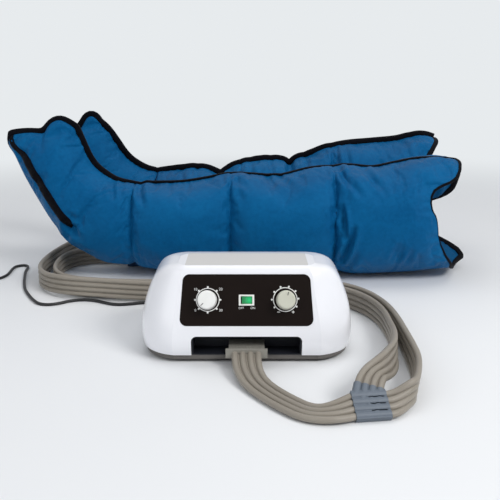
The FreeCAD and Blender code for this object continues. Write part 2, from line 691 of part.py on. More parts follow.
def outlet_manifold():
    """The block behind the bay that the air hoses inside come to, with four nipples for the plug."""
    length = "4 * port_pitch + 4"
    block = centred_box("manifold_block", length, "12", "13", y="-bay_back + bay_wall + 6 + fit_gap",
                        z="port_height - 6.5")
    parts, bores = [block], []
    for n in range(4):
        x = f"{n - 1.5} * port_pitch"
        parts.append(cylinder(f"nipple_{n}", "nipple_radius", "nipple_length + bay_wall + 3", x,
                              "-bay_back - nipple_length", "port_height", ALONG_Y))
        parts.append(cylinder(f"barb_{n}", "nipple_radius", "9", x, "-bay_back + bay_wall + 11", "port_height",
                              ALONG_Y))
        bores.append(cylinder(f"nipple_bore_{n}", "nipple_bore", "60", x, "-bay_back - 30", "port_height",
                              ALONG_Y))
    return seat(cut("outlet_manifold", fuse("manifold_blank", parts), bores))


def hose_plug():
    """The ribbed plug that the four supply hoses are moulded into."""
    long = "plug_front - bay_back - 1"
    core = centred_box("plug_core", "2*plug_half_width", long, "plug_thickness",
                       y=f"-plug_front + ({long})/2", z="port_height - plug_thickness/2")
    core = rounded("plug_rounded", core, 1.5, lambda e: abs(e.tangentAt(e.FirstParameter).y) > 0.99)
    flange = centred_box("plug_flange", "2*flange_half_width", "flange_depth", "flange_thickness",
                         y="-plug_front - flange_depth/2 + 1", z="port_height - flange_thickness/2 + 0.3")
    ribs = [centred_box(f"plug_rib_{n}", "1.6", f"{long} - 8", "0.8", f"{n} * 4.4",
                        f"-plug_front + ({long})/2", "port_height + plug_thickness/2 - 0.1") for n in range(-4, 5)]
    holes = []
    for n in range(4):
        x = f"{n - 1.5} * port_pitch"
        holes.append(cylinder(f"plug_socket_{n}", "nipple_radius + seal_thickness", "nipple_length + 3", x,
                              "-bay_back - nipple_length - 2", "port_height", ALONG_Y))
        holes.append(cylinder(f"plug_bore_{n}", "hose_bore", "60", x, "-plug_front - 20", "port_height", ALONG_Y))
    return seat(cut("hose_plug", fuse("plug_blank", [core, flange] + ribs), holes))


def nipple_seals():
    """A rubber ring around each nipple, squeezed in the plug's socket."""
    rings = []
    for n in range(4):
        ring = doc.addObject("Part::Torus", f"seal_{n}")
        bind(ring, Radius1="nipple_radius + seal_thickness/2", Radius2="seal_thickness/2 - 0.01")
        rings.append(at(ring, f"{n - 1.5} * port_pitch", "-bay_back - nipple_length + 3", "port_height", ALONG_Y))
    return seat(group("nipple_seals", rings))


# ---------------------------------------------------------------- air pump

def seat_drive(obj):
    return seat(obj, "drive_x", "drive_y", "drive_z")


def compressor_frame():
    """An open steel frame along X with round openings in its ends and two cross plates below."""
    outer = centred_box("frame_outer", "2*frame_half", "frame_width", "frame_tall", z="-frame_tall/2")
    inner = centred_box("frame_inner", "2*frame_half - 2*frame_wall", "frame_width - 2*frame_wall",
                        "frame_tall + 2", z="-frame_tall/2 - 1")
    hole = cylinder("frame_hole", "diaphragm_radius/2 + 1", "4*frame_half", "-2*frame_half", turn=ALONG_X)
    plates = [centred_box(f"frame_plate_{n}", "2*mount_radius", "frame_width", "frame_wall",
                          f"{side} * (frame_half - mount_radius)", z="-frame_tall/2")
              for n, side in enumerate((-1, 1))]
    return seat_drive(fuse("compressor_frame", [cut("frame_ring", outer, [inner, hole])] + plates))


def armature():
    """Rod, magnet and the two diaphragm plates, which move together along X."""
    reach = "frame_half + diaphragm_thickness"
    rod = cylinder("armature_rod", "rod_radius", f"2*({reach})", f"-({reach})", turn=ALONG_X)
    magnet = centred_box("armature_magnet", "magnet_length", "magnet_width", "magnet_tall", z="-magnet_tall/2")
    plates = [cylinder(f"armature_plate_{n}", "diaphragm_radius/2 - 0.5", "diaphragm_thickness", x, turn=ALONG_X)
              for n, x in enumerate((f"-({reach})", "frame_half"))]
    return seat_drive(fuse("compressor_armature", [rod, magnet] + plates))


def electromagnets():
    """Two E-shaped cores, ahead of and behind the magnet, each with a coil on its middle pole."""
    cores, coils = [], []
    start, yoke = "magnet_width/2 + 1.5", "frame_width/2 - frame_wall - 6"
    for n, side in enumerate((-1, 1)):
        middle = f"{side} * ({start} + {yoke})/2"
        poles = [centred_box(f"pole_{n}_{k}", wide, f"{yoke} - ({start})", "22", x, middle, "-11")
                 for k, (wide, x) in enumerate((("8", "-23"), ("14", "0"), ("8", "23")))]
        back = centred_box(f"yoke_{n}", "54", "6", "22", y=f"{side} * ({yoke} + 3)", z="-11")
        cores.append(fuse(f"core_{n}", poles + [back]))
        depth = f"{yoke} - ({start}) - 1.6"
        winding = centred_box(f"winding_{n}", "34", depth, "38", y=middle, z="-19")
        inside = centred_box(f"winding_hole_{n}", "14.6", "60", "22.6", y=middle, z="-11.3")
        coils.append(cut(f"coil_{n}", winding, [inside]))
    return seat_drive(group("electromagnet_cores", cores)), seat_drive(group("electromagnet_coils", coils))


def diaphragms():
    """A rubber ring at each end of the frame, around the armature's plate."""
    rings = []
    for n, x in enumerate(("-frame_half - diaphragm_thickness", "frame_half")):
        disc = cylinder(f"diaphragm_disc_{n}", "diaphragm_radius", "diaphragm_thickness", x, turn=ALONG_X)
        hole = cylinder(f"diaphragm_hole_{n}", "diaphragm_radius/2", "20", f"{x} - 9", turn=ALONG_X)
        rings.append(cut(f"diaphragm_{n}", disc, [hole]))
    return seat_drive(group("diaphragms", rings))


def valve_heads():
    """A cup over each diaphragm with an upward nipple for the air it delivers."""
    heads = []
    for n, side in enumerate((-1, 1)):
        near = f"{side} * (frame_half + diaphragm_thickness + head_depth/2) - head_depth/2"
        cup = cylinder(f"head_cup_{n}", "diaphragm_radius + 2", "head_depth", near, turn=ALONG_X)
        spout = cylinder(f"head_spout_{n}", "2.6", "diaphragm_radius + 9", f"{near} + head_depth/2")
        space = cylinder(f"head_space_{n}", "diaphragm_radius/2 + 1", "6",
                         f"{side} * (frame_half + diaphragm_thickness + 2) - 3", turn=ALONG_X)
        bore = cylinder(f"head_bore_{n}", "1.4", "diaphragm_radius + 20",
                        f"{side} * (frame_half + diaphragm_thickness + 4)")
        heads.append(cut(f"head_{n}", fuse(f"head_blank_{n}", [cup, spout]), [space, bore]))
    return seat_drive(group("valve_heads", heads))


def vibration_mounts():
    """Rubber feet of the air pump, waisted in the middle."""
    mounts = []
    for n, (sx, sy) in enumerate(four_corners(1, 1)):
        drum = cylinder(f"mount_drum_{n}", "mount_radius", "mount_height")
        waist = doc.addObject("Part::Torus", f"mount_waist_{n}")
        bind(waist, Radius1="mount_radius + 0.5", Radius2="2")
        at(waist, z="mount_height/2")
        mount = cut(f"mount_{n}", drum, [waist])
        mounts.append(at(mount, f"{sx} * (frame_half - mount_radius)", f"{sy} * (frame_width/2 - mount_radius)",
                         "-frame_tall/2 - mount_height"))
    return seat_drive(group("vibration_mounts", mounts))


# ---------------------------------------------------------------- air distributor

def seat_valve(obj):
    return seat(obj, "case_half_width - valve_inset", "valve_y", "tray_bottom + tray_wall")


def distributor_motor():
    drum = cylinder("motor_drum", "valve_radius", "motor_tall")
    bore = cylinder("motor_bore", "shaft_radius + shaft_gap", "motor_tall", z="4")
    return seat_valve(cut("distributor_motor", drum, [bore]))


def distributor_body():
    """A cup on the motor that the rotor turns in."""
    owner = turned("distributor_body", [
        ("shaft_radius + 0.6", "motor_tall"),
        ("valve_radius", "motor_tall"),
        ("valve_radius", "motor_tall + valve_wall + rotor_tall + 1"),
        ("valve_radius - valve_wall", "motor_tall + valve_wall + rotor_tall + 1"),
        ("valve_radius - valve_wall", "motor_tall + valve_wall"),
        ("shaft_radius + 0.6", "motor_tall + valve_wall"),
    ])
    return seat_valve(owner)


def distributor_rotor():
    """A slotted disc on the motor's shaft."""
    disc = cylinder("rotor_disc", "valve_radius - valve_wall - 0.4", "rotor_tall",
                    z="motor_tall + valve_wall + 0.5")
    stem = cylinder("rotor_stem", "shaft_radius", "motor_tall + valve_wall - 3.5", z="4.2")
    slot = centred_box("rotor_slot", "6", "10", "rotor_tall + 2", "0", "valve_radius/2", "motor_tall + valve_wall")
    return seat_valve(cut("distributor_rotor", fuse("rotor_blank", [disc, stem]), [slot]))


def lid_height():
    return "motor_tall + valve_wall + rotor_tall + 1"


def distributor_lid():
    """The lid with one air inlet behind and a row of four outlets in front."""
    parts = [cylinder("lid_plate", "valve_radius", "valve_wall", z=lid_height())]
    bores = []
    places = [("0", "lid_offset")] + [(f"{n - 1.5} * lid_pitch", "-lid_offset") for n in range(4)]
    for n, (x, y) in enumerate(places):
        parts.append(cylinder(f"lid_nipple_{n}", "2.6", "valve_wall + 7", x, y, lid_height()))
        bores.append(cylinder(f"lid_bore_{n}", "1.4", "60", x, y, f"{lid_height()} - 3"))
    return seat_valve(cut("distributor_lid", fuse("lid_blank", parts), bores))


# ---------------------------------------------------------------- tubes and cords

def bent_path(points):
    """Straight runs joined by tangent arcs: the wire, its length and its tightest radius."""
    edges, length, tightest, start = [], 0.0, math.inf, points[0]
    for before, corner, after in zip(points, points[1:], points[2:]):
        a, b = (corner - before), (after - corner)
        shorter, half = min(a.Length, b.Length), a.getAngle(b) / 2
        reach = 0.45 * shorter
        radius = reach / math.tan(half)
        a.normalize()
        b.normalize()
        first, last = corner - a * reach, corner + b * reach
        inward = (b - a).normalize()
        middle = corner + inward * (radius / math.cos(half) - radius)
        edges.append(Part.LineSegment(start, first).toShape())
        edges.append(Part.Arc(first, middle, last).toShape())
        length += (first - start).Length + 2 * radius * half
        tightest, start = min(tightest, radius), last
    edges.append(Part.LineSegment(start, points[-1]).toShape())
    length += (points[-1] - start).Length
    return Part.Wire(edges), length, tightest


def tube(points, radius, label):
    """A round solid along the route, with its volume compared with its section times its length."""
    wire, length, tightest = bent_path(points)
    ring = Part.Wire([Part.Circle(points[0], points[1] - points[0], radius).toShape()])
    solid = wire.makePipeShell([ring], True, True)
    expected = math.pi * radius**2 * length
    if abs(solid.Volume - expected) > 0.02 * expected:
        raise ValueError(f"{label}: the volume is {solid.Volume:.0f} and should be {expected:.0f}")
    print(f"{label}: length {length:.0f}, tightest radius {tightest:.1f}")
    return solid


def sideways(ahead, roll):
    """The way across a ribbon that heads ahead: level at roll 0, upright at roll 90."""
    left = Vector(-ahead.y, ahead.x, 0).normalize()
    up = Vector(ahead).normalize().cross(left)
    return left * math.cos(math.radians(roll)) + up * math.sin(math.radians(roll))


def ribbon(name, route, start, end):
    """Four hoses side by side along a route of (place, roll, pitch), the roll about the way ahead.

    The first run lies along the start direction and the last along the end direction, both without a twist.
    """
    places = [place for place, _, _ in route]
    last = len(places) - 1
    lanes = [[], [], [], []]
    for i, (place, roll, pitch) in enumerate(route):
        ahead = start if i < 2 else end if i > last - 2 else places[i + 1] - places[i - 1]
        for lane, points in enumerate(lanes):
            points.append(place + sideways(ahead, roll) * ((lane - 1.5) * pitch))
    hoses = [tube(points, D["hose_radius"], f"{name} hose {n}") for n, points in enumerate(lanes, 1)]
    return seat(feature(name, Part.makeCompound(hoses)))


def along_floor(points, height, roll=90):
    """Route entries for a ribbon at one height and roll."""
    return [(Vector(x, y, height), roll, D["hose_pitch"]) for x, y in points]


def supply_ribbon():
    """From the plug, down to the floor and round to the splitter."""
    pitch, wide = D["hose_pitch"], D["port_pitch"]
    frame = splitter_frame()
    ahead = frame.Rotation.multVec(Vector(1, 0, 0))
    plug = Vector(0, -D["plug_front"] - D["flange_depth"] + 1, D["port_height"])
    route = [
        (plug, 0, wide),
        (plug + Vector(0, -16, 0), 0, wide),
        (Vector(2, -142, 12), 0, 9.8),
        (Vector(10, -168, 7), 3, 9.0),
        (Vector(27, -195, 6.5), 9, pitch),
        (Vector(48, -221, 8.5), 15, pitch),
        (Vector(69, -242, 10.5), 23, pitch),
        (frame.Base - ahead * 24, D["splitter_roll"], pitch),
        (frame.Base, D["splitter_roll"], pitch),
    ]
    return ribbon("supply_hoses", route, Vector(0, -1, 0), ahead)


def splitter_frame():
    """The splitter's left end: local X through it, Y across its four tees, Z out of its upper face."""
    turn = Rotation(Vector(0, 0, 1), D["splitter_yaw"]).multiply(Rotation(Vector(1, 0, 0), D["splitter_roll"]))
    return Placement(Vector(D["splitter_x"], D["splitter_y"], D["splitter_z"]), turn)


def branch_frame():
    """The middle of the splitter's side outlets: local X out of them, Y across them."""
    turn = Rotation(Vector(0, 0, 1), D["branch_angle"])
    out = Vector(D["branch_root"], 0, 0) + turn.multVec(Vector(D["branch_reach"], 0, 0))
    return splitter_frame().multiply(Placement(out, turn))


def splitter():
    """Four moulded tees side by side: straight on to one ribbon, out of the upper edge to the other."""
    length, pitch, thick = D["splitter_length"], D["hose_pitch"], D["splitter_thickness"]
    corner = Vector(0, -1.5 * pitch - thick / 2, -thick * 0.35)
    solid = Part.makeBox(length, 3 * pitch + thick, thick * 0.7, corner)
    angle = math.radians(D["branch_angle"])
    out = Vector(math.cos(angle), math.sin(angle), 0)
    for n in range(4):
        lane = (n - 1.5) * pitch
        solid = solid.fuse(Part.makeCylinder(thick / 2, length, Vector(0, lane, 0), Vector(1, 0, 0)))
        skip = lane * (1 - out.x) / out.y
        root = Vector(D["branch_root"] - lane * out.y, lane * out.x, 0) + out * skip
        solid = solid.fuse(Part.makeCylinder(thick / 2 - 0.4, D["branch_reach"] - skip, root, out))
    for n in range(3):
        lane = (n - 1) * pitch
        solid = solid.cut(Part.makeBox(length * 0.45, 1.5, thick * 2, Vector(length * 0.47, lane - 0.75, -thick)))
    frame = splitter_frame()
    seat(feature("hose_splitter", solid), "splitter_x", "splitter_y", "splitter_z", frame.Rotation)


def far_ribbon():
    """From the splitter's upper edge, beside and behind the pump, and round the heels to the far boot."""
    pitch, frame = D["hose_pitch"], branch_frame()
    out, across = frame.Rotation.multVec(Vector(1, 0, 0)), frame.Rotation.multVec(Vector(0, 1, 0))
    roll = math.degrees(math.atan2(across.dot(sideways(out, 90)), across.dot(sideways(out, 0))))
    inlet = Vector(D["heel_x"] + D["boot_shift"] + 7, far_middle() + 66, 17.5)
    route = [
        (frame.Base, roll, pitch),
        (frame.Base + out * 20, roll, pitch),
        (Vector(155, -178, 40), 22, pitch),
        (Vector(170, -148, 35), 38, pitch),
        (Vector(184, -110, 26), 60, pitch),
        (Vector(194, -65, 20), 80, pitch),
    ]
    route += along_floor([
        (201, -14), (201, 33), (194, 76), (180, 113), (157, 143), (124, 163), (82, 172), (34, 174), (-20, 173),
        (-76, 173),
    ], 17.5)
    route += along_floor([(-142, 171)], 18)
    route += along_floor([(-200, 171)], 21)
    route += along_floor([(-252, 174), (-298, 184)], 24)
    route += along_floor([(-334, 208)], 22)
    route += along_floor([(-359, 244)], 19)
    route += along_floor([
        (-374, 290), (-377, 340), (-374, 392), (-366, 445), (-352, 500), (-330, 550), (-297, 588),
    ], 17.5)
    route += [(inlet - Vector(39, 0, 0), 90, pitch), (inlet, 90, pitch)]
    return ribbon("far_boot_hoses", route, out, Vector(1, 0, 0))


def near_ribbon():
    """From the splitter's right end, outside the other ribbon, and round to the near boot."""
    pitch, frame = D["hose_pitch"], splitter_frame()
    ahead = frame.Rotation.multVec(Vector(1, 0, 0))
    first = frame.multVec(Vector(D["splitter_length"], 0, 0))
    inlet = Vector(D["heel_x"] + 7, D["boot_behind"] + 66, 17.5)
    route = [
        (first, D["splitter_roll"], pitch),
        (first + ahead * 21, D["splitter_roll"], pitch),
        (Vector(197, -225.5, 16), 56, pitch),
        (Vector(207, -201, 17.8), 77, pitch),
        (Vector(210, -161, 18), 94, pitch),
        (Vector(212, -112, 18), 100, pitch),
        (Vector(214, -58, 17.7), 96, pitch),
    ]
    route += along_floor([
        (215, -8), (213, 40), (206, 84), (192, 124), (169, 158), (136, 182), (93, 194), (44, 196), (-8, 193),
        (-62, 189), (-114, 187), (-163, 186), (-212, 188), (-262, 194), (-304, 212), (-332, 243), (-346, 286),
        (-349, 334), (-345, 372), (-329, 400), (-301, 414),
    ], 17.5)
    route += [(inlet - Vector(34, 0, 0), 90, pitch), (inlet, 90, pitch)]
    return ribbon("near_boot_hoses", route, ahead, Vector(1, 0, 0))


def inner_hoses():
    """Four hoses that arch over from the distributor's lid to the manifold, and one from the air pump."""
    top = D["tray_bottom"] + D["tray_wall"] + D["motor_tall"] + 2 * D["valve_wall"] + D["rotor_tall"] + 8
    barb = -D["bay_back"] + D["bay_wall"] + 20
    valve_x = D["case_half_width"] - D["valve_inset"]
    hoses = []
    for n in range(4):
        x, y = valve_x + (1.5 - n) * D["lid_pitch"], D["valve_y"] - D["lid_offset"]
        port, over = (n - 1.5) * D["port_pitch"], top + 41 - 7 * n
        points = [Vector(x, y, top), Vector(x, y, over), Vector(port, barb + 26, over),
                  Vector(port, barb + 26, D["port_height"]), Vector(port, barb, D["port_height"])]
        hoses.append(tube(points, D["inner_hose"], f"outlet hose {n + 1}"))
    seat(feature("outlet_hoses", Part.makeCompound(hoses)))
    spout = D["drive_x"] + D["frame_half"] + D["diaphragm_thickness"] + D["head_depth"] / 2
    height, over = D["drive_z"] + D["diaphragm_radius"] + 9, top + 50
    points = [Vector(spout, D["drive_y"], height), Vector(spout, D["drive_y"], over),
              Vector(valve_x, D["valve_y"] + D["lid_offset"], over),
              Vector(valve_x, D["valve_y"] + D["lid_offset"], top)]
    seat(feature("pressure_hose", Part.makeCompound([tube(points, D["inner_hose"], "pressure hose")])))


# ---------------------------------------------------------------- electrical

def power_board():
    floor = "tray_bottom + tray_wall"
    board = centred_box("board_plate", "board_width", "board_length", "1.6", z=f"{floor} + 4")
    choke = centred_box("board_choke", "16", "18", "14", "8", "-12", f"{floor} + 5.6")
    drum = cylinder("board_capacitor", "5", "14", "-8", "-14", f"{floor} + 5.6")
    legs = []
    for n, (sx, sy) in enumerate(four_corners(1, 1)):
        x, y = f"{sx} * (board_width/2 - 3)", f"{sy} * (board_length/2 - 3)"
        legs.append(cylinder(f"board_leg_{n}", "2.4", "4", x, y, floor))
    seat(fuse("power_board", [board, choke, drum] + legs), "board_inset - case_half_width", "board_y")
    clip = centred_box("fuse_clip", "8", "24", "4", "-8", "8", f"{floor} + 5.6")
    glass = cylinder("fuse_glass", "2.6", "22", "-8", "-3", f"{floor} + 10", ALONG_Y)
    seat(fuse("fuse_holder", [clip, glass]), "board_inset - case_half_width", "board_y")
    block = centred_box("terminal_base", "20", "9", "10", "8", "12", f"{floor} + 5.6")
    screws = [cylinder(f"terminal_screw_{n}", "1.8", "1", f"{3 + 5 * n}", "12", f"{floor} + 15.6")
              for n in range(3)]
    seat(fuse("terminal_block", [block] + screws), "board_inset - case_half_width", "board_y")


def cord_gland():
    """A rubber sleeve in the back wall, thin towards its end; local Z points out of the back."""
    owner = turned("cord_gland", [
        ("0.001", "-8"),
        ("gland_radius - 1.5", "-8"),
        ("gland_radius - 1.5", "1"),
        ("gland_radius", "1"),
        ("gland_radius", "4"),
        ("gland_radius - 1.5", "4"),
        ("lead_radius + 1", "gland_length"),
        ("0.001", "gland_length"),
    ])
    return seat(owner, "gland_x", "case_back", "gland_z", ALONG_Y)


def coil_middle():
    return Vector(-524, 255, D["coil_height"] / 2 + 0.1)


def power_lead():
    """The lead from the gland over the floor to its coil; its points lie as a dropped cord does."""
    start = Vector(D["gland_x"], D["case_back"] + D["gland_length"], D["gland_z"])
    low = D["lead_radius"] + 0.1
    floor_points = [
        (-140, 162), (-168, 159), (-194, 148), (-213, 143), (-229, 156), (-246, 170), (-270, 175), (-294, 169),
        (-309, 152), (-323, 142), (-339, 149), (-352, 169), (-369, 198), (-386, 233), (-399, 273), (-412, 317),
        (-422, 356), (-430, 378), (-440, 390), (-452, 384), (-453, 368), (-446, 344), (-443, 318), (-453, 297),
        (-475, 286),
    ]
    end = coil_middle() + Vector(16, D["coil_radius"], low - coil_middle().z)
    points = [start, start + Vector(0, 14, 0), Vector(-91, 144, 15), Vector(-112, 158, 5)]
    points += [Vector(x, y, low) for x, y in floor_points] + [end]
    seat(feature("power_lead", tube(points, D["lead_radius"], "power lead")))
    middle = coil_middle()
    wide, tall = D["coil_width"], D["coil_height"]
    inner, outer = D["coil_radius"] - wide / 2, D["coil_radius"] + wide / 2
    corners = [(inner, -tall / 2), (outer, -tall / 2), (outer, tall / 2), (inner, tall / 2), (inner, -tall / 2)]
    section = Part.Face(Part.makePolygon([middle + Vector(x, 0, z) for x, z in corners]))
    ring = section.revolve(middle, Vector(0, 0, 1), 360)
    seat(feature("power_lead_coil", ring.makeFillet(tall * 0.4, ring.Edges)))
    tail = [middle + Vector(-D["coil_radius"], 4, 0), middle + Vector(-D["coil_radius"], -16, 0),
            middle + Vector(-D["coil_radius"] + 2, -36, 0.8), middle + Vector(-D["coil_radius"] + 2, -54, 0.8)]
    seat(feature("power_lead_tail", tube(tail, D["lead_radius"], "power lead tail")))
    return tail[-1]


def power_plug(place):
    """A moulded two-pin plug, lying on its flat side with its pins away from the cord."""
    back = Vector(0, -1, 0)
    shell = Part.makeBox(24, 34, 12, place + Vector(-12, -41, -6))
    shell = shell.makeFillet(4.0, [e for e in shell.Edges if abs(e.tangentAt(e.FirstParameter).y) > 0.99])
    solid = shell.fuse(Part.makeCone(D["lead_radius"] + 1.5, 5.8, 8.0, place, back))
    for x in (-9.5, 9.5):
        solid = solid.fuse(Part.makeCylinder(2.4, 19.0, place + Vector(x, -40.0, 0), back))
    seat(feature("power_plug", solid))


# ---------------------------------------------------------------- boots

def far_middle():
    return D["boot_behind"] + D["boot_spacing"]


def oval(x, y, z, half_tall, half_wide, lean=0.0):
    """A closed oval across the boot; the lean, in degrees, turns its upper end back towards the leg."""
    a = math.radians(lean)
    up, across = Vector(math.sin(a), 0, math.cos(a)), Vector(0, 1, 0)
    count = 16
    points = []
    for n in range(count):
        turn = 2 * math.pi * n / count
        points.append(Vector(x, y, z) + up * (half_tall * math.sin(turn)) + across * (half_wide * math.cos(turn)))
    curve = Part.BSplineCurve()
    curve.interpolate(Points=points, PeriodicFlag=True)
    return Part.Wire([curve.toShape()])


def ring_solid(stations, wall, closed_end=False):
    """An inflated ring: ovals through the stations (x, y, z, half height, half width, lean) less the cavity."""
    outer = Part.makeLoft([oval(*station) for station in stations], True, False)
    hollow = stations[2:] if closed_end else stations
    cores = [oval(x, y, z, tall - wall, wide - wall * wide / tall, lean) for x, y, z, tall, wide, lean in hollow]
    first, last = hollow[0], hollow[-1]
    inner = Part.makeLoft(cores, True, False)
    ends = []
    for station, side in ((first, -1), (last, 1)):
        if side < 0 and closed_end:
            continue
        x, y, z, tall, wide, lean = station
        face = Part.Face(oval(x, y, z, tall - wall, wide - wall * wide / tall, lean))
        ends.append(face.extrude(Vector(side * 2.0, 0, 0)))
    shape = outer.cut(inner)
    for end in ends:
        shape = shape.cut(end)
    return shape


def chamber_stations(start, end, shift, middle, heights, wide, swell):
    """Five ovals along a leg chamber, drawn in by the seams at both ends and swollen between them."""
    pinch = D["seam_pinch"]
    span = end - start - D["seam_gap"]
    rows = []
    for share, draw in ((0.0, 1.0), (0.12, 0.35), (0.5, 0.0), (0.88, 0.35), (1.0, 1.0)):
        tall = heights[0] + (heights[1] - heights[0]) * share + swell * math.sin(math.pi * share)
        rows.append((start + D["seam_gap"] / 2 + span * share + shift, middle, tall / 2 + 0.3,
                     tall / 2 - pinch * draw, wide / 2 - pinch * draw, 0.0))
    return rows


def foot_stations(shift, middle):
    """From the toes, down the sole and round the heel to the first seam; x is from the ankle."""
    ankle, seam = D["heel_x"] + shift, D["seam_one"] + shift - D["seam_gap"] / 2
    tall = D["ankle_height"] / 2
    return [
        (ankle - 139, middle, 278, 26, 8, 72),
        (ankle - 131, middle, 262, 50, 22, 70),
        (ankle - 116, middle, 230, 61, 38, 66),
        (ankle - 88, middle, 182, 66, 50, 54),
        (ankle - 54, middle, 132, 75, 58, 34),
        (ankle - 10, middle, 104, 82, 66, 8),
        (seam, middle, tall + 4, tall - 6, 70, 0),
    ]


def mouth_cutter(shift, middle, tall):
    """A round bar across the open end that hollows it at mid height."""
    hollow, half = D["mouth_hollow"], tall / 2
    radius = (half**2 + hollow**2) / (2 * hollow)
    place = Vector(D["boot_end"] + shift + radius - hollow, middle - D["thigh_width"], half)
    return Part.makeCylinder(radius, 2 * D["thigh_width"], place, Vector(0, 1, 0))


def boot(side, shift, middle, mouth_height, swell):
    """One boot: a foot chamber and three leg chambers in a row, with a bound zip edge along the front."""
    wall, clear = D["boot_wall"], D["zip_radius"] + D["zip_gap"]
    foot = foot_stations(shift, middle)
    legs = [
        ("calf", D["seam_one"], D["seam_two"], (D["ankle_height"], D["calf_height"]), D["calf_width"], 0.0),
        ("knee", D["seam_two"], D["seam_three"], (D["calf_height"], D["knee_height"]), D["knee_width"], 0.0),
        ("thigh", D["seam_three"], D["boot_end"], (D["knee_height"], mouth_height), D["thigh_width"], swell),
    ]
    seat(feature(f"{side}_boot_foot_chamber", ring_solid(foot, wall, closed_end=True)))
    crest = []
    for x, _, z, tall, _, lean in foot[2:]:
        up = Vector(math.sin(math.radians(lean)), 0, math.cos(math.radians(lean)))
        crest.append(Vector(x, middle, z) + up * (tall + clear))
    for name, start, end, heights, wide, rise in legs:
        rows = chamber_stations(start, end, shift, middle, heights, wide, rise)
        chamber = ring_solid(rows, wall)
        if name == "thigh":
            chamber = chamber.cut(mouth_cutter(shift, middle, mouth_height))
        seat(feature(f"{side}_boot_{name}_chamber", chamber))
        over_swell = (0.0, rise / 4, 0.0)        # the tube rounds off the corner there
        for (x, _, z, half, _, _), lift in zip(rows[1:4], over_swell):
            crest.append(Vector(x, middle, z + half + clear + lift))
    seat(feature(f"{side}_boot_zip", tube(crest, D["zip_radius"], f"{side} boot zip")))
    corner = Vector(D["heel_x"] + shift + 7, middle + 66 + 6 - D["inlet_width"], 0.2)
    inlet = Part.makeBox(D["inlet_length"], D["inlet_width"], D["inlet_height"], corner)
    inlet = inlet.makeFillet(4.0, [e for e in inlet.Edges if abs(e.tangentAt(e.FirstParameter).x) > 0.99])
    seat(feature(f"{side}_boot_inlet", inlet))


# ---------------------------------------------------------------- the whole

CORD_NODES = ["hose_plug", "supply_hoses", "hose_splitter", "near_boot_hoses", "far_boot_hoses",
              "power_lead", "power_lead_coil", "power_lead_tail", "power_plug"]


def build():
    seat(upper_housing())
    seat(base_tray())
    rubber_feet()
    case_screws()
    control_panel()
    for name, x, radius, depth in (("clockwork_timer", "-knob_x", "timer_radius", "timer_depth"),
                                   ("pressure_regulator", "knob_x", "regulator_radius", "regulator_depth")):
        control(name, x, radius, depth)
    for name, x, pointer in (("timer", "-knob_x", 225), ("pressure", "knob_x", 15)):
        knob(f"{name}_knob", x, pointer)
        shaft(f"{name}_shaft", x)
    switch_bezel()
    switch_body()
    switch_rocker()
    bay_liner()
    outlet_manifold()
    nipple_seals()
    hose_plug()
    compressor_frame()
    armature()
    electromagnets()
    diaphragms()
    valve_heads()
    vibration_mounts()
    distributor_motor()
    distributor_body()
    distributor_rotor()
    distributor_lid()
    inner_hoses()
    power_board()
    cord_gland()
    supply_ribbon()
    splitter()
    far_ribbon()
    near_ribbon()
    power_plug(power_lead())
    boot("near", 0.0, D["boot_behind"], D["mouth_height"], D["thigh_swell"])
    boot("far", D["boot_shift"], far_middle(), D["far_mouth_height"], D["far_thigh_swell"])


def pieces():
    """Every top-level object with a shape: what no other object uses."""
    found = []
    for obj in doc.Objects:
        if obj.TypeId.startswith(("Part::", "PartDesign::Body")) and not [
            user for user in obj.InList if user.TypeId.startswith("Part")
        ]:
            found.append(obj)
    return found


def move_origin():
    """Puts the origin at the bottom centre of everything but the hoses and the lead."""
    whole = FreeCAD.BoundBox()
    for obj in pieces():
        if obj.Label not in CORD_NODES:
            whole.add(obj.Shape.optimalBoundingBox())
    rows = {"origin_x": len(DIMENSIONS) + 1, "origin_y": len(DIMENSIONS) + 2}
    sheet.set(f"B{rows['origin_x']}", str(round(-whole.Center.x, 3)))
    sheet.set(f"B{rows['origin_y']}", str(round(-whole.Center.y, 3)))
    doc.recompute()
    print(f"pump centre at {-whole.Center.x:.3f}, {-whole.Center.y:.3f}; lowest {whole.ZMin:.3f}")


def check_and_write():
    bad = [obj.Label for obj in doc.Objects if {"Invalid", "Error"} & set(obj.State)]
    if bad:
        raise ValueError(f"these failed: {bad}")
    os.makedirs(NODE_FOLDER, exist_ok=True)
    for obj in pieces():
        if obj.Shape.isNull() or not obj.Shape.isValid() or obj.Shape.Volume <= 0:
            raise ValueError(f"{obj.Label} has no valid shape")
        obj.Shape.exportStep(f"{NODE_FOLDER}/{obj.Label}.step")
    print(f"{len(pieces())} nodes written")


build()
doc.recompute()
move_origin()
check_and_write()
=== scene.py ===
import math

import bpy
import numpy as np
from mathutils import Matrix, Vector


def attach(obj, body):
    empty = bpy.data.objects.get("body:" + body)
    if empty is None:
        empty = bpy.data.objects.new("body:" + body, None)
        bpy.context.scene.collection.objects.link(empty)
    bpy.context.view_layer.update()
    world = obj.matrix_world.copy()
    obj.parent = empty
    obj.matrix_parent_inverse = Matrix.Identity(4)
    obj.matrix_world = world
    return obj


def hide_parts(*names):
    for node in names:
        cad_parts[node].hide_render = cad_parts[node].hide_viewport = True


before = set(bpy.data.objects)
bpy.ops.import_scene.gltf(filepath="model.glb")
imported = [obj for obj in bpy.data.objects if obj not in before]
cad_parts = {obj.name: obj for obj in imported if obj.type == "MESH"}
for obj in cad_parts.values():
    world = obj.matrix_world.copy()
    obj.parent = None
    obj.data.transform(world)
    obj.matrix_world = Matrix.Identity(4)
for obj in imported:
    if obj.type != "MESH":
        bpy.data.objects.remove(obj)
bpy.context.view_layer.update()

MM = 0.001
PUMP = Vector((7.967, -268.705, 0.0))      # the pump's centre in the frame, in mm


def place(x, y, z):
    """A point given from the pump's centre in mm, in the frame in metres."""
    return (Vector((x, y, z)) + PUMP) * MM


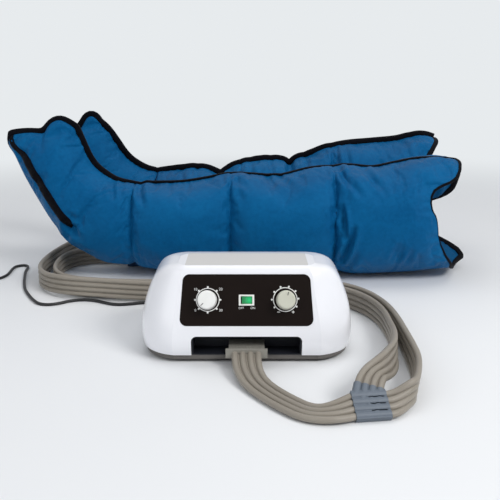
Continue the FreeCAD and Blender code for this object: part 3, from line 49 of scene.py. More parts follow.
# ---------------------------------------------------------------- camera and light

IMAGE_WIDE = 500.0          # pixels
FOCAL_LENGTH = 739.0        # in the same pixels
EYE = (4.5, -995, 375)      # the camera from the pump's centre, in mm
EYE_DOWN = 13.835           # how far it looks down, in degrees


def camera():
    """The camera at the photograph's place and angle."""
    lens = bpy.data.cameras.new("camera")
    lens.sensor_width = 36.0
    lens.lens = lens.sensor_width * FOCAL_LENGTH / IMAGE_WIDE
    eye = bpy.data.objects.new("camera", lens)
    eye.location = place(*EYE)
    eye.rotation_euler = (math.radians(90 - EYE_DOWN), 0, 0)
    bpy.context.scene.collection.objects.link(eye)
    bpy.context.scene.camera = eye


def area_light(name, at, target, size, power):
    """A rectangular lamp that faces a target; places and sizes in metres, power in watts."""
    lamp = bpy.data.lights.new(name, "AREA")
    lamp.shape, lamp.size, lamp.size_y = "RECTANGLE", size[0], size[1]
    lamp.energy = power
    obj = bpy.data.objects.new(name, lamp)
    obj.location = at
    obj.rotation_euler = (Vector(target) - Vector(at)).to_track_quat("-Z", "Y").to_euler()
    bpy.context.scene.collection.objects.link(obj)


def add(owner, kind, settings=None, **inputs):
    """A shader node in a material or world. An input is a value or another node's socket; i6 is input number 6."""
    made = owner.node_tree.nodes.new(kind)
    for key, value in (settings or {}).items():
        setattr(made, key, value)
    for key, value in inputs.items():
        numbered = key[0] == "i" and key[1:].isdigit()
        socket = made.inputs[int(key[1:]) if numbered else key.replace("_", " ")]
        if isinstance(value, bpy.types.NodeSocket):
            owner.node_tree.links.new(value, socket)
        else:
            socket.default_value = value
    return made


def blank(name):
    """A new material, its surface node and the socket of its object coordinates."""
    mat = bpy.data.materials.new(name)
    mat.use_nodes = True
    return mat, mat.node_tree.nodes["Principled BSDF"], add(mat, "ShaderNodeTexCoord").outputs["Object"]


def feed(node, name, source):
    """Links a socket to an input of a node."""
    node.id_data.links.new(source, node.inputs[name])


def blend(mat, share, one, other):
    """The socket of a colour between two others."""
    return add(mat, "ShaderNodeMix", {"data_type": "RGBA"}, Factor=share, i6=one, i7=other).outputs[2]


def reckon(mat, operation, *values):
    """The socket of a sum on values or other sockets."""
    inputs = {f"i{n}": value for n, value in enumerate(values)}
    return add(mat, "ShaderNodeMath", {"operation": operation}, **inputs).outputs[0]


def camera_or(owner, other):
    """A socket that is 1 for the camera's rays and for one other kind, else 0."""
    light = add(owner, "ShaderNodeLightPath")
    return add(owner, "ShaderNodeMath", {"operation": "ADD", "use_clamp": True}, i0=light.outputs["Is Camera Ray"],
               i1=light.outputs[other]).outputs[0]


BACKDROP = (0.80, 0.83, 0.85, 1)


def stage():
    """The pale floor, which fades into the backdrop."""
    bpy.ops.mesh.primitive_plane_add(size=14, location=(0, 0, 0))
    floor = bpy.context.object
    floor.name = "floor"
    mat, skin, where = blank("floor")
    grain = add(mat, "ShaderNodeTexNoise", Vector=where, Scale=3.0, Detail=3.0)
    feed(skin, "Base Color", blend(mat, grain.outputs["Fac"], (0.80, 0.81, 0.82, 1), (0.83, 0.835, 0.84, 1)))
    skin.inputs["Roughness"].default_value = 0.75
    far = add(mat, "ShaderNodeVectorMath", {"operation": "LENGTH"}, i0=where)
    fade = add(mat, "ShaderNodeMapRange", {"interpolation_type": "SMOOTHSTEP"}, Value=far.outputs["Value"],
               From_Min=0.75, From_Max=2.2)
    both = reckon(mat, "MULTIPLY", fade.outputs["Result"], camera_or(mat, "Is Glossy Ray"))
    pale = add(mat, "ShaderNodeEmission", Color=BACKDROP)
    mixed = add(mat, "ShaderNodeMixShader", i0=both, i1=skin.outputs[0], i2=pale.outputs[0])
    feed(mat.node_tree.nodes["Material Output"], "Surface", mixed.outputs[0])
    floor.data.materials.append(mat)


def studio():
    """The world, which shows the camera the backdrop, and the lamps."""
    world = bpy.data.worlds.new("studio")
    bpy.context.scene.world = world
    world.use_nodes = True
    back = world.node_tree.nodes["Background"]
    back.inputs["Color"].default_value = (0.92, 0.95, 1.0, 1)
    back.inputs["Strength"].default_value = 0.5
    pale = add(world, "ShaderNodeBackground", Color=BACKDROP)
    mixed = add(world, "ShaderNodeMixShader", i0=camera_or(world, "Is Transmission Ray"), i1=back.outputs[0],
                i2=pale.outputs[0])
    feed(world.node_tree.nodes["World Output"], "Surface", mixed.outputs[0])
    area_light("key", (1.4, -1.45, 1.6), (0, -0.05, 0.05), (1.0, 0.8), 31)
    area_light("fill", (-1.5, -1.4, 1.1), (0, -0.1, 0.1), (1.4, 1.2), 7)
    area_light("top", (0.1, 0.3, 2.2), (0, 0, 0), (1.8, 1.2), 10)
    bpy.context.scene.view_settings.view_transform = "Standard"


camera()
stage()
studio()


# ---------------------------------------------------------------- hoses and lead

HOSE = 4.0                  # a hose's radius
PITCH = 8.6                 # from one hose's middle to the next
WEB_HALF, WEB_LAP = 0.9, 0.6    # half a web's thickness, and how far it reaches into the hoses
ON_EDGE = 17.5              # height of a ribbon's middle where it stands on its edge


def sideways(ahead, roll):
    """The way across a ribbon that heads ahead: level at roll 0, upright at roll 90."""
    left = Vector((-ahead.y, ahead.x, 0)).normalized()
    up = ahead.normalized().cross(left)
    return left * math.cos(math.radians(roll)) + up * math.sin(math.radians(roll))


def lanes_of(route, start, end):
    """The four lines of a ribbon along a route of (place, roll, pitch)."""
    places = [Vector(p) for p, _, _ in route]
    last = len(places) - 1
    lanes = [[], [], [], []]
    for i, (_, roll, pitch) in enumerate(route):
        ahead = start if i < 2 else end if i > last - 2 else places[i + 1] - places[i - 1]
        for lane, points in enumerate(lanes):
            points.append(places[i] + sideways(ahead, roll) * ((lane - 1.5) * pitch))
    return lanes


def spline(name, points, radius, mat):
    """A round cord along one smooth NURBS spline."""
    curve = bpy.data.curves.new(name, "CURVE")
    curve.dimensions = "3D"
    line = curve.splines.new("NURBS")
    line.points.add(len(points) - 1)
    for knot, p in zip(line.points, points):
        knot.co = (*place(*p), 1)
    line.order_u = 3
    line.use_endpoint_u = True
    line.resolution_u = 8
    curve.bevel_depth = radius * MM
    curve.bevel_resolution = 4
    curve.use_fill_caps = True
    curve.materials.append(mat)
    obj = bpy.data.objects.new(name, curve)
    bpy.context.scene.collection.objects.link(obj)
    return obj


def line_of(cord):
    """The points of a cord's own line."""
    bare = cord.data.copy()
    bare.bevel_depth = 0
    holder = bpy.data.objects.new("bare", bare)
    mesh = bpy.data.meshes.new_from_object(holder)
    points = [v.co.copy() for v in mesh.vertices]
    bpy.data.objects.remove(holder)
    return points


def mesh_object(name, points, faces, mat, smooth=True):
    """A mesh in one material, from points in metres and faces."""
    mesh = bpy.data.meshes.new(name)
    mesh.from_pydata([tuple(p) for p in points], [], faces)
    mesh.update()
    mesh.materials.append(mat)
    if smooth:
        mesh.polygons.foreach_set("use_smooth", [True] * len(mesh.polygons))
    obj = bpy.data.objects.new(name, mesh)
    bpy.context.scene.collection.objects.link(obj)
    return obj


def web(name, one, other, mat):
    """The thin bridge that joins two hoses of a ribbon."""
    points, faces = [], []
    lines = list(zip(one, other))
    for i, (a, b) in enumerate(lines):
        before, after = lines[max(i - 1, 0)], lines[min(i + 1, len(lines) - 1)]
        ahead = (after[0] + after[1] - before[0] - before[1]).normalized()
        across = (b - a).normalized()
        up = ahead.cross(across) * WEB_HALF * MM
        inset = across * (HOSE - WEB_LAP) * MM
        points += [a + inset + up, b - inset + up, b - inset - up, a + inset - up]
    for i in range(len(lines) - 1):
        for k in range(4):
            j = (k + 1) % 4
            faces.append((4 * i + k, 4 * i + j, 4 * i + 4 + j, 4 * i + 4 + k))
    faces += [(3, 2, 1, 0), tuple(4 * (len(lines) - 1) + k for k in range(4))]
    return mesh_object(name, points, faces, mat)


def level(points, z=ON_EDGE):
    """Places of a route where the ribbon stands upright at one height."""
    return [((x, y, z), 90, PITCH) for x, y in points]


SPLITTER_ROLL = 32
SPLITTER = (Matrix.Translation((118, -246, 13)) @ Matrix.Rotation(math.radians(8), 4, "Z")
            @ Matrix.Rotation(math.radians(SPLITTER_ROLL), 4, "X"))
SPLITTER_AHEAD = (SPLITTER.to_3x3() @ Vector((1, 0, 0))).normalized()
BRANCH = SPLITTER @ (Matrix.Translation((14, 0, 0)) @ Matrix.Rotation(math.radians(68), 4, "Z")
                     @ Matrix.Translation((26.5, 0, 0)))


def supply_route():
    """From the plug to the splitter: the places, and the ways that the ribbon heads at its start and end."""
    base = SPLITTER.translation
    return [
        ((0, -104, 17.5), 0, 10), ((0, -120, 17.5), 0, 10), ((2, -142, 12), 0, 9.8), ((10, -168, 7), 3, 9),
        ((27, -197, 5.8), 3, PITCH), ((48, -226, 6.0), 3, PITCH), ((70, -250, 6.3), 5, PITCH),
        (base - SPLITTER_AHEAD * 21 - Vector((0, 6, 3.3)), 13, PITCH), (base, SPLITTER_ROLL, PITCH),
    ], Vector((0, -1, 0)), SPLITTER_AHEAD


def far_route():
    """From the splitter's side leg, behind the pump and round the heels, to the far boot."""
    turn = BRANCH.to_3x3()
    out, across = turn @ Vector((1, 0, 0)), turn @ Vector((0, 1, 0))
    roll = math.degrees(math.atan2(across.dot(sideways(out, 90)), across.dot(sideways(out, 0))))
    base = BRANCH.translation
    route = [
        (base, roll, PITCH), (base + out * 16, roll, PITCH), ((163, -186, 35), 66, PITCH),
        ((175, -158, 30.5), 62, PITCH), ((189, -116, 26), 85, PITCH), ((197, -64, 22), 92, PITCH),
        ((201, -14, 17.5), 87, PITCH),
    ]
    route += level([(201, 33), (194, 76), (180, 113), (157, 143), (124, 163), (82, 172), (34, 174),
                    (-20, 173), (-76, 173)])
    route += level([(-142, 171)], 18) + level([(-200, 171)], 21) + level([(-252, 174), (-298, 184)], 24)
    route += level([(-334, 208)], 22) + level([(-359, 244)], 19)
    route += level([(-374, 290), (-377, 340), (-374, 392), (-366, 445), (-352, 500), (-330, 550), (-297, 588),
                    (-256, 608), (-217, 608)])
    return route, out, Vector((1, 0, 0))


def near_route():
    """From the splitter's right end, outside the other ribbon, to the near boot."""
    first = SPLITTER @ Vector((40, 0, 0))
    route = [
        (first, SPLITTER_ROLL, PITCH), (first + SPLITTER_AHEAD * 9, SPLITTER_ROLL, PITCH),
        ((187.5, -223, 20), 92, PITCH), ((194, -212, 18.4), 98, PITCH), ((209, -151, 18.2), 101, PITCH),
        ((212, -110, 18.5), 98, PITCH), ((214, -58, 17.8), 92, PITCH),
    ]
    route += level([(215, -8), (213, 40), (206, 84), (192, 124), (169, 158), (136, 182), (93, 194), (44, 196),
                    (-8, 193), (-62, 189), (-114, 187), (-163, 186), (-212, 188), (-262, 194), (-304, 212),
                    (-332, 243), (-346, 286), (-349, 334), (-345, 372), (-329, 400), (-301, 414), (-267, 416),
                    (-233, 416)])
    return route, SPLITTER_AHEAD, Vector((1, 0, 0))


def ribbon(name, node, route, start, end, mat):
    """Four hoses and the webs between them, in place of the part's hoses."""
    cords, lines = [], []
    for n, points in enumerate(lanes_of(route, start, end), 1):
        hose = spline(f"{name}_hose_{n}", points, HOSE, mat)
        cords.append(hose)
        lines.append(line_of(hose))
    for n, hose in enumerate(cords):
        if n < 3:
            bridge = web(f"{name}_web_{n + 1}", lines[n], lines[n + 1], mat)
            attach(bridge, "case")
        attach(hose, "case")
        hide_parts(node)


LEAD = 2.5                  # the lead's radius
LEAD_LIES = 2.6             # height of its middle where it lies on the floor
COIL = Vector((-524, 255, 5.6))
COIL_OUTER, COIL_DRAWN_IN = 34.6, 13.0      # radius of the outer turns, and how far inside them the inner ones lie
COIL_LAYER = 5.0            # how far the upper layer lies above the lower


def lead_points():
    """The lead over the floor, its coil and its tail, as one line."""
    points = [(-84, 110, 26), (-84, 124, 26), (-91, 144, 15), (-112, 158, 5)]
    points += [(x, y, LEAD_LIES) for x, y in (
        (-140, 162), (-168, 159), (-192, 150), (-214, 147), (-233, 157), (-250, 169), (-271, 174), (-291, 168),
        (-307, 153), (-323, 146), (-339, 151), (-353, 170), (-369, 198), (-386, 233), (-399, 273), (-411, 317),
        (-419, 350), (-421, 372), (-426, 389), (-437, 394), (-448, 385), (-449, 365), (-446, 343), (-445, 318),
        (-453, 297), (-475, 286))]
    first, turns, per_turn = 60.0, 5 + 1 / 3, 14
    steps = round(turns * per_turn)
    for step in range(steps + 1):
        share = step / steps
        angle = math.radians(first + 360 * turns * share)
        radius = COIL_OUTER - COIL_DRAWN_IN * (2 * share if share < 0.5 else 2 - 2 * share)
        rise = min(max((share - 0.47) / 0.07, 0), 1)
        height = LEAD_LIES + COIL_LAYER * rise * rise * (3 - 2 * rise)
        if share > 0.96:
            height -= 2.0 * (share - 0.96) / 0.04       # the last turn comes down to the tail
        points.append((COIL.x + radius * math.cos(angle), COIL.y + radius * math.sin(angle), height))
    points += [(COIL.x - 31, COIL.y - 16, 5.6), (COIL.x - 26, COIL.y - 36, 6.2), (COIL.x - 26, COIL.y - 54, 6.4)]
    return points


def squared(value, power):
    """A sine or cosine to a power, its sign kept: with a power below 1 it squares a circle off."""
    return math.copysign(abs(value) ** power, value)


def tie_band(mat):
    """A narrow hook-and-loop band round the coil's turns."""
    half_wide, half_tall, half_long, lowest = 10.6, 5.3, 4.5, -5.4
    count, reach, outer = 28, 28, 1.09      # points round it, its middle from the coil's, and its outer shell's size
    angle = math.radians(-35)
    out, along = Vector((math.cos(angle), math.sin(angle), 0)), Vector((-math.sin(angle), math.cos(angle), 0))
    middle = COIL + out * reach
    outline = [(half_wide * squared(math.cos(a), 0.45), half_tall * squared(math.sin(a), 0.5))
               for a in (2 * math.pi * n / count for n in range(count))]
    points, faces = [], []
    for grow in (1.0, outer):
        for side in (-half_long, half_long):
            for x, z in outline:
                up = Vector((0, 0, max(z * grow, lowest)))
                points.append(place(*(middle + out * x * grow + along * side + up)))
    for n in range(count):
        m = (n + 1) % count
        a, b, c, d = n, n + count, n + 2 * count, n + 3 * count
        e, f, g, h = m, m + count, m + 2 * count, m + 3 * count
        faces += [(c, g, h, d), (a, b, f, e), (a, e, g, c), (b, d, h, f)]
    return mesh_object("lead_tie", points, faces, mat)


# ---------------------------------------------------------------- materials

def mottled(name, dark, light, scale, rough, bump, fine, **sockets):
    """A surface with a soft change of tone, a change of gloss and a fine grain."""
    mat, skin, where = blank(name)
    cloud = add(mat, "ShaderNodeTexNoise", Vector=where, Scale=scale, Detail=4.0, Roughness=0.6)
    feed(skin, "Base Color", blend(mat, cloud.outputs["Fac"], (*dark, 1), (*light, 1)))
    gloss = add(mat, "ShaderNodeMapRange", Value=cloud.outputs["Fac"], To_Min=rough[0], To_Max=rough[1])
    feed(skin, "Roughness", gloss.outputs["Result"])
    grain = add(mat, "ShaderNodeTexNoise", Vector=where, Scale=fine, Detail=3.0, Roughness=0.7)
    raised = add(mat, "ShaderNodeBump", Height=grain.outputs["Fac"], Strength=bump, Distance=0.0004)
    feed(skin, "Normal", raised.outputs["Normal"])
    for key, value in sockets.items():
        skin.inputs[key.replace("_", " ")].default_value = value
    return mat


def ribbed_grip():
    """Grey moulding with grip ribs across it."""
    mat = mottled("plug_grey", (0.25, 0.24, 0.21), (0.31, 0.295, 0.26), 45, (0.45, 0.62), 0.3, 1000)
    skin = mat.node_tree.nodes["Principled BSDF"]
    grain = skin.inputs["Normal"].links[0].from_socket
    where = add(mat, "ShaderNodeTexCoord").outputs["Object"]
    ribs = add(mat, "ShaderNodeTexWave", {"bands_direction": "Y"}, Vector=where, Scale=60.0, Distortion=0.0)
    raised = add(mat, "ShaderNodeBump", Height=ribs.outputs["Fac"], Strength=0.5, Distance=0.0008, Normal=grain)
    feed(skin, "Normal", raised.outputs["Normal"])
    return mat


TOP_SHADE_FROM, TOP_SHADE_HALF = 0.1235, 0.081      # the painted top shade's least height and half its width, in metres


def housing_material():
    """Glossy white moulding; its flat top that faces up is painted warm grey as shade."""
    mat, skin, where = blank("gloss_white")
    cloud = add(mat, "ShaderNodeTexNoise", Vector=where, Scale=14.0, Detail=3.0)
    white = blend(mat, cloud.outputs["Fac"], (0.84, 0.845, 0.88, 1), (0.87, 0.875, 0.905, 1))
    facing = add(mat, "ShaderNodeSeparateXYZ", Vector=add(mat, "ShaderNodeNewGeometry").outputs["True Normal"])
    spot = add(mat, "ShaderNodeSeparateXYZ", Vector=where)
    up = reckon(mat, "GREATER_THAN", facing.outputs["Z"], 0.995)
    top = reckon(mat, "GREATER_THAN", spot.outputs["Z"], TOP_SHADE_FROM)
    flat = reckon(mat, "MULTIPLY", up, top)
    aside = reckon(mat, "SUBTRACT", spot.outputs["X"], PUMP.x * MM)
    within = reckon(mat, "LESS_THAN", reckon(mat, "ABSOLUTE", aside), TOP_SHADE_HALF)
    # painted shade: warm grey on the flat upward-facing top, in a band across the middle
    painted_top_shade = reckon(mat, "MULTIPLY", flat, within)
    feed(skin, "Base Color", blend(mat, painted_top_shade, white, (0.68, 0.66, 0.63, 1)))
    gloss = add(mat, "ShaderNodeMapRange", Value=cloud.outputs["Fac"], To_Min=0.2, To_Max=0.3)
    feed(skin, "Roughness", gloss.outputs["Result"])
    peel = add(mat, "ShaderNodeTexNoise", Vector=where, Scale=520.0, Detail=1.0)
    raised = add(mat, "ShaderNodeBump", Height=peel.outputs["Fac"], Strength=0.05, Distance=0.0003)
    feed(skin, "Normal", raised.outputs["Normal"])
    skin.inputs["Coat Weight"].default_value = 0.35
    skin.inputs["Coat Roughness"].default_value = 0.08
    return mat


def fabric(name, dark, light, thread=900.0, rough=(0.42, 0.6), bump=0.22, shine=(0.08, 0.42, 0.8)):
    """Woven nylon: threads both ways, small creases and an uneven dye."""
    mat, skin, where = blank(name)
    cloud = add(mat, "ShaderNodeTexNoise", Vector=where, Scale=9.0, Detail=5.0, Roughness=0.65, Distortion=0.6)
    fleck = add(mat, "ShaderNodeTexNoise", Vector=where, Scale=160.0, Detail=2.0)
    both = add(mat, "ShaderNodeMix", {"data_type": "FLOAT"}, i0=0.3, i2=cloud.outputs["Fac"], i3=fleck.outputs["Fac"])
    spread = add(mat, "ShaderNodeMapRange", Value=both.outputs[0], From_Min=0.34, From_Max=0.66)
    feed(skin, "Base Color", blend(mat, spread.outputs["Result"], (*dark, 1), (*light, 1)))
    gloss = add(mat, "ShaderNodeMapRange", Value=cloud.outputs["Fac"], To_Min=rough[0], To_Max=rough[1])
    feed(skin, "Roughness", gloss.outputs["Result"])
    warp = add(mat, "ShaderNodeTexWave", {"bands_direction": "X"}, Vector=where, Scale=thread, Distortion=0.4)
    weft = add(mat, "ShaderNodeTexWave", {"bands_direction": "Z"}, Vector=where, Scale=thread, Distortion=0.4)
    cloth = reckon(mat, "MULTIPLY", warp.outputs["Fac"], weft.outputs["Fac"])
    creases = add(mat, "ShaderNodeTexNoise", Vector=where, Scale=34.0, Detail=4.0, Roughness=0.55, Distortion=1.2)
    weave = add(mat, "ShaderNodeBump", Height=cloth, Strength=0.25, Distance=0.0002)
    raised = add(mat, "ShaderNodeBump", Height=creases.outputs["Fac"], Strength=bump, Distance=0.004,
                 Normal=weave.outputs["Normal"])
    feed(skin, "Normal", raised.outputs["Normal"])
    skin.inputs["Specular Tint"].default_value = (*shine, 1)
    skin.inputs["Specular IOR Level"].default_value = 0.28
    return mat


def glowing_rocker():
    """Translucent green key, brighter where the lamp behind it shines."""
    mat, skin, where = blank("lit_green")
    lamp = add(mat, "ShaderNodeVectorMath", {"operation": "DISTANCE"}, i0=where, i1=tuple(panel_point(3.5, 0, 2)))
    near = add(mat, "ShaderNodeMapRange", Value=lamp.outputs["Value"], From_Min=0.0005, From_Max=0.0065,
               To_Min=1.0, To_Max=0.0)
    grain = add(mat, "ShaderNodeTexNoise", Vector=where, Scale=900.0, Detail=2.0)
    feed(skin, "Base Color", blend(mat, grain.outputs["Fac"], (0.002, 0.17, 0.045, 1), (0.006, 0.24, 0.07, 1)))
    feed(skin, "Emission Color", blend(mat, near.outputs["Result"], (0.0, 0.03, 0.008, 1), (0.03, 0.55, 0.2, 1)))
    skin.inputs["Emission Strength"].default_value = 0.7
    skin.inputs["Roughness"].default_value = 0.3
    return mat


LEAN = math.radians(20)     # the panel's slope leans back by this much
SLOPE_FOOT = (-93, 47)      # y and z of the slope's lower edge
KNOB_LINE = 38.0            # from there up the slope to the knobs' line


def panel_point(x, rise, out):
    """A point on the control panel in the frame: right, up the slope from the knobs' line, out of the face."""
    along = KNOB_LINE + rise
    return place(x, SLOPE_FOOT[0] + along * math.sin(LEAN) - out * math.cos(LEAN),
                 SLOPE_FOOT[1] + along * math.cos(LEAN) + out * math.sin(LEAN))


WHITE = mottled("knob_white", (0.80, 0.80, 0.77), (0.88, 0.88, 0.86), 60, (0.25, 0.4), 0.1, 700)
BEIGE = mottled("knob_beige", (0.52, 0.52, 0.43), (0.62, 0.62, 0.52), 60, (0.35, 0.5), 0.15, 700)
FRAME_WHITE = mottled("frame_white", (0.78, 0.78, 0.74), (0.86, 0.86, 0.82), 80, (0.3, 0.45), 0.1, 800)
TRAY = mottled("tray_grey", (0.10, 0.092, 0.085), (0.135, 0.125, 0.115), 30, (0.5, 0.68), 0.5, 1500)
DARK = mottled("panel_black", (0.007, 0.004, 0.003), (0.011, 0.0065, 0.005), 20, (0.3, 0.42), 0.15, 1600,
               Specular_IOR_Level=0.12)
BAY = mottled("bay_black", (0.009, 0.010, 0.015), (0.016, 0.018, 0.026), 25, (0.45, 0.65), 0.3, 1200,
              Specular_IOR_Level=0.3)
RUBBER = mottled("rubber", (0.012, 0.012, 0.012), (0.022, 0.022, 0.022), 70, (0.6, 0.8), 0.4, 1100)
CORD_BLACK = mottled("cord_black", (0.008, 0.008, 0.009), (0.016, 0.016, 0.017), 90, (0.4, 0.55), 0.2, 1400)
PLUG = ribbed_grip()
INLET = mottled("inlet_blue", (0.002, 0.03, 0.09), (0.004, 0.045, 0.13), 60, (0.5, 0.7), 0.3, 900)
SPLIT = mottled("splitter_grey", (0.10, 0.125, 0.155), (0.14, 0.165, 0.2), 45, (0.38, 0.55), 0.3, 900)
TUBE = mottled("hose_taupe", (0.24, 0.213, 0.175), (0.32, 0.288, 0.243), 18, (0.35, 0.5), 0.2, 420,
               Specular_IOR_Level=0.35)
STEEL = mottled("steel", (0.45, 0.45, 0.46), (0.58, 0.58, 0.6), 80, (0.28, 0.45), 0.2, 1500, Metallic=1.0)
COPPER = mottled("copper", (0.55, 0.24, 0.1), (0.68, 0.34, 0.16), 90, (0.3, 0.45), 0.3, 900, Metallic=1.0)
BOARD = mottled("board_green", (0.01, 0.08, 0.03), (0.02, 0.12, 0.05), 90, (0.4, 0.6), 0.3, 900)
MOULD = mottled("moulded_dark", (0.025, 0.025, 0.03), (0.04, 0.04, 0.045), 40, (0.45, 0.6), 0.3, 1100)
ACETAL = mottled("acetal", (0.55, 0.55, 0.52), (0.66, 0.66, 0.63), 60, (0.4, 0.55), 0.2, 900)
PRINT = mottled("print_white", (0.72, 0.72, 0.70), (0.82, 0.82, 0.80), 200, (0.4, 0.55), 0.1, 2500)
NYLON = fabric("boot_nylon", (0.002, 0.072, 0.2), (0.004, 0.112, 0.28))
LINING = fabric("boot_lining", (0.002, 0.05, 0.14), (0.004, 0.085, 0.21), bump=0.25, rough=(0.55, 0.75))
BINDING = fabric("boot_binding", (0.002, 0.002, 0.003), (0.006, 0.006, 0.008), thread=1400, bump=0.2,
                 rough=(0.55, 0.75), shine=(0.1, 0.1, 0.12))
THREAD = fabric("boot_thread", (0.002, 0.018, 0.06), (0.003, 0.028, 0.085), thread=2000, bump=0.1)

FINISH = {name: mat for mat, names in (
    (housing_material(), "upper_housing"), (glowing_rocker(), "switch_rocker"), (TRAY, "base_tray"),
    (RUBBER, "rubber_feet vibration_mounts diaphragms nipple_seals"), (BAY, "bay_liner outlet_manifold"),
    (CORD_BLACK, "cord_gland power_plug power_lead power_lead_coil power_lead_tail"),
    (STEEL, "case_screws distributor_motor timer_shaft pressure_shaft compressor_frame electromagnet_cores"),
    (STEEL, "compressor_armature"), (COPPER, "electromagnet_coils"), (BOARD, "power_board"),
    (MOULD, "clockwork_timer pressure_regulator switch_body fuse_holder distributor_body valve_heads"),
    (ACETAL, "terminal_block distributor_lid distributor_rotor"), (DARK, "control_panel"),
    (FRAME_WHITE, "switch_bezel"), (WHITE, "timer_knob"), (BEIGE, "pressure_knob"), (PLUG, "hose_plug"),
    (TUBE, "supply_hoses near_boot_hoses far_boot_hoses outlet_hoses pressure_hose"), (SPLIT, "hose_splitter"),
    (INLET, "near_boot_inlet far_boot_inlet"),
) for name in names.split()}


def dress_nodes():
    """Gives each of the part's own solids its finish; the boots' solids are nylon."""
    for name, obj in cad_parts.items():
        mat = FINISH.get(name, NYLON)
        if not obj.data.materials:
            obj.data.materials.append(mat)
        for n in range(len(obj.material_slots)):
            obj.material_slots[n].material = mat


dress_nodes()
ribbon("supply", "supply_hoses", *supply_route(), TUBE)
ribbon("far", "far_boot_hoses", *far_route(), TUBE)
ribbon("near", "near_boot_hoses", *near_route(), TUBE)

lead = spline("power_cord", lead_points(), LEAD, CORD_BLACK)
band = tie_band(BINDING)
for piece in (lead, band):
    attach(piece, "case")
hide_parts("power_lead", "power_lead_coil", "power_lead_tail")


# ---------------------------------------------------------------- panel print

def on_panel(name, outlines, mat=PRINT, out=0.12, body="case"):
    """Flat printed shapes on the panel, each a list of (x, rise) points in mm."""
    points, faces = [], []
    for outline in outlines:
        first = len(points)
        points += [panel_point(x, rise, out) for x, rise in outline]
        faces.append(tuple(range(first, len(points))))
    obj = mesh_object(name, points, faces, mat, smooth=False)
    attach(obj, body)


MARK, MARK_SIDES = 1.3, 14      # a round mark beside a knob: its radius and its corners
LINE, LINE_CELLS = 1.1, 72      # a printed ring round a knob: its width and its cells
FIGURE, WORD = 4.8, 4.0         # sizes of the printed figures and words


def disc(x, rise):
    """The outline of a round mark."""
    return [(x + MARK * math.cos(a), rise + MARK * math.sin(a))
            for a in (2 * math.pi * n / MARK_SIDES for n in range(MARK_SIDES))]


def ring_cells(x, rise, radius):
    """A printed ring as many small cells."""
    cells = []
    inner, outer = radius - LINE / 2, radius + LINE / 2
    for n in range(LINE_CELLS):
        a, b = 2 * math.pi * n / LINE_CELLS, 2 * math.pi * (n + 1) / LINE_CELLS
        cells.append([(x + r * math.cos(t), rise + r * math.sin(t)) for r, t in
                      ((inner, a), (outer, a), (outer, b), (inner, b))])
    return cells


def round_marks(centre, radius, angles):
    """Round marks on a circle, at angles in degrees."""
    return [disc(centre[0] + radius * math.cos(a), centre[1] + radius * math.sin(a))
            for a in map(math.radians, angles)]


def pointer(body, centre, angle, mat):
    """A thin line on a knob's face that shows where it points."""
    inner, outer, half, face = 6.0, 10.6, 0.4, 17.05
    c, s = math.cos(math.radians(angle)), math.sin(math.radians(angle))
    corners = ((inner, -half), (outer, -half), (outer, half), (inner, half))
    on_panel(f"{body}_pointer", [[(centre[0] + r * c - w * s, centre[1] + r * s + w * c) for r, w in corners]],
             mat, out=face, body=body)


def dash(x, rise, wide, tall):
    """The outline of a printed bar."""
    return [(x - wide / 2, rise - tall / 2), (x + wide / 2, rise - tall / 2), (x + wide / 2, rise + tall / 2),
            (x - wide / 2, rise + tall / 2)]


def words(name, text, x, rise, size):
    """Printed figures or a plain word, centred at a place on the panel."""
    curve = bpy.data.curves.new(name, "FONT")
    curve.body, curve.size, curve.align_x, curve.align_y = text, size * MM, "CENTER", "CENTER"
    curve.extrude = 0.00004
    obj = bpy.data.objects.new(name, curve)
    bpy.context.scene.collection.objects.link(obj)
    obj.location = panel_point(x, rise, 0.1)
    obj.rotation_euler = (math.pi / 2 - LEAN, 0, 0)
    curve.materials.append(PRINT)
    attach(obj, "case")


def panel_print():
    """Rings, marks, figures and plain words round the knobs and the switch."""
    timer, pressure = (-50.3, 0.4), (50.2, 0.8)
    on_panel("timer_ring", ring_cells(*timer, 14.9))
    on_panel("pressure_ring", ring_cells(*pressure, 15.4))
    on_panel("timer_ticks", round_marks(timer, 16.5, range(0, 360, 45)), out=0.14)
    on_panel("pressure_ticks", round_marks(pressure, 17.3, (216, 180.6, 145, 110, 74, 39, 3.6, -32)), out=0.14)
    for n, (text, x, rise) in enumerate((("0", -66.3, -13.2), ("10", -66.3, 14), ("20", -33.6, 14.2),
                                         ("30", -33.4, -13.2))):
        words(f"timer_figure_{n}", text, x, rise, FIGURE)
    words("switch_off", "OFF", -6.8, -10.3, WORD)
    words("switch_on", "ON", 8.2, -10.3, WORD)
    on_panel("pressure_less", [dash(41.6, -15.4, 3.6, 0.9)])
    on_panel("pressure_more", [dash(60.4, -15.4, 3.6, 0.9), dash(60.4, -15.4, 0.9, 3.6)])
    pointer("timer", (-51, -0.34), 225, MOULD)
    pointer("pressure", (51, -0.34), 74, MOULD)


panel_print()


# ---------------------------------------------------------------- boots

RING = 112                  # points round a boot
RINGS = 250                 # rings along it, from the toes to the open end
TOP = RING // 2             # a ring's highest point; its lowest is 0
NEAR_MIDDLE, FAR_MIDDLE = 350, 542      # y of the boots' middle lines
FAR_SHIFT = 16              # how much further right the far boot lies
TOE_RINGS, MOUTH_RINGS = 20, 36         # rings that the toe seam bends, and the open end
SEAM_DRAWS = ((7.0, 5.5), (5.0, 28.0))  # how deep a seam draws the skin in, and how far along
HALF_DEPTH = 40             # as far in front of the middle a point is wholly front, behind it wholly back
FRAMES, FARTHEST = 22, 9.0  # how long the cloth moves, and how far at most
HELD = 7                    # points held on each side of the sole's middle
LOWEST = 0.8                # height of the lowest skin over the floor
SOLE = 216                  # length of the tapes along the sole
LINING_FROM = 30            # the ring nearest the toes that the lining reaches

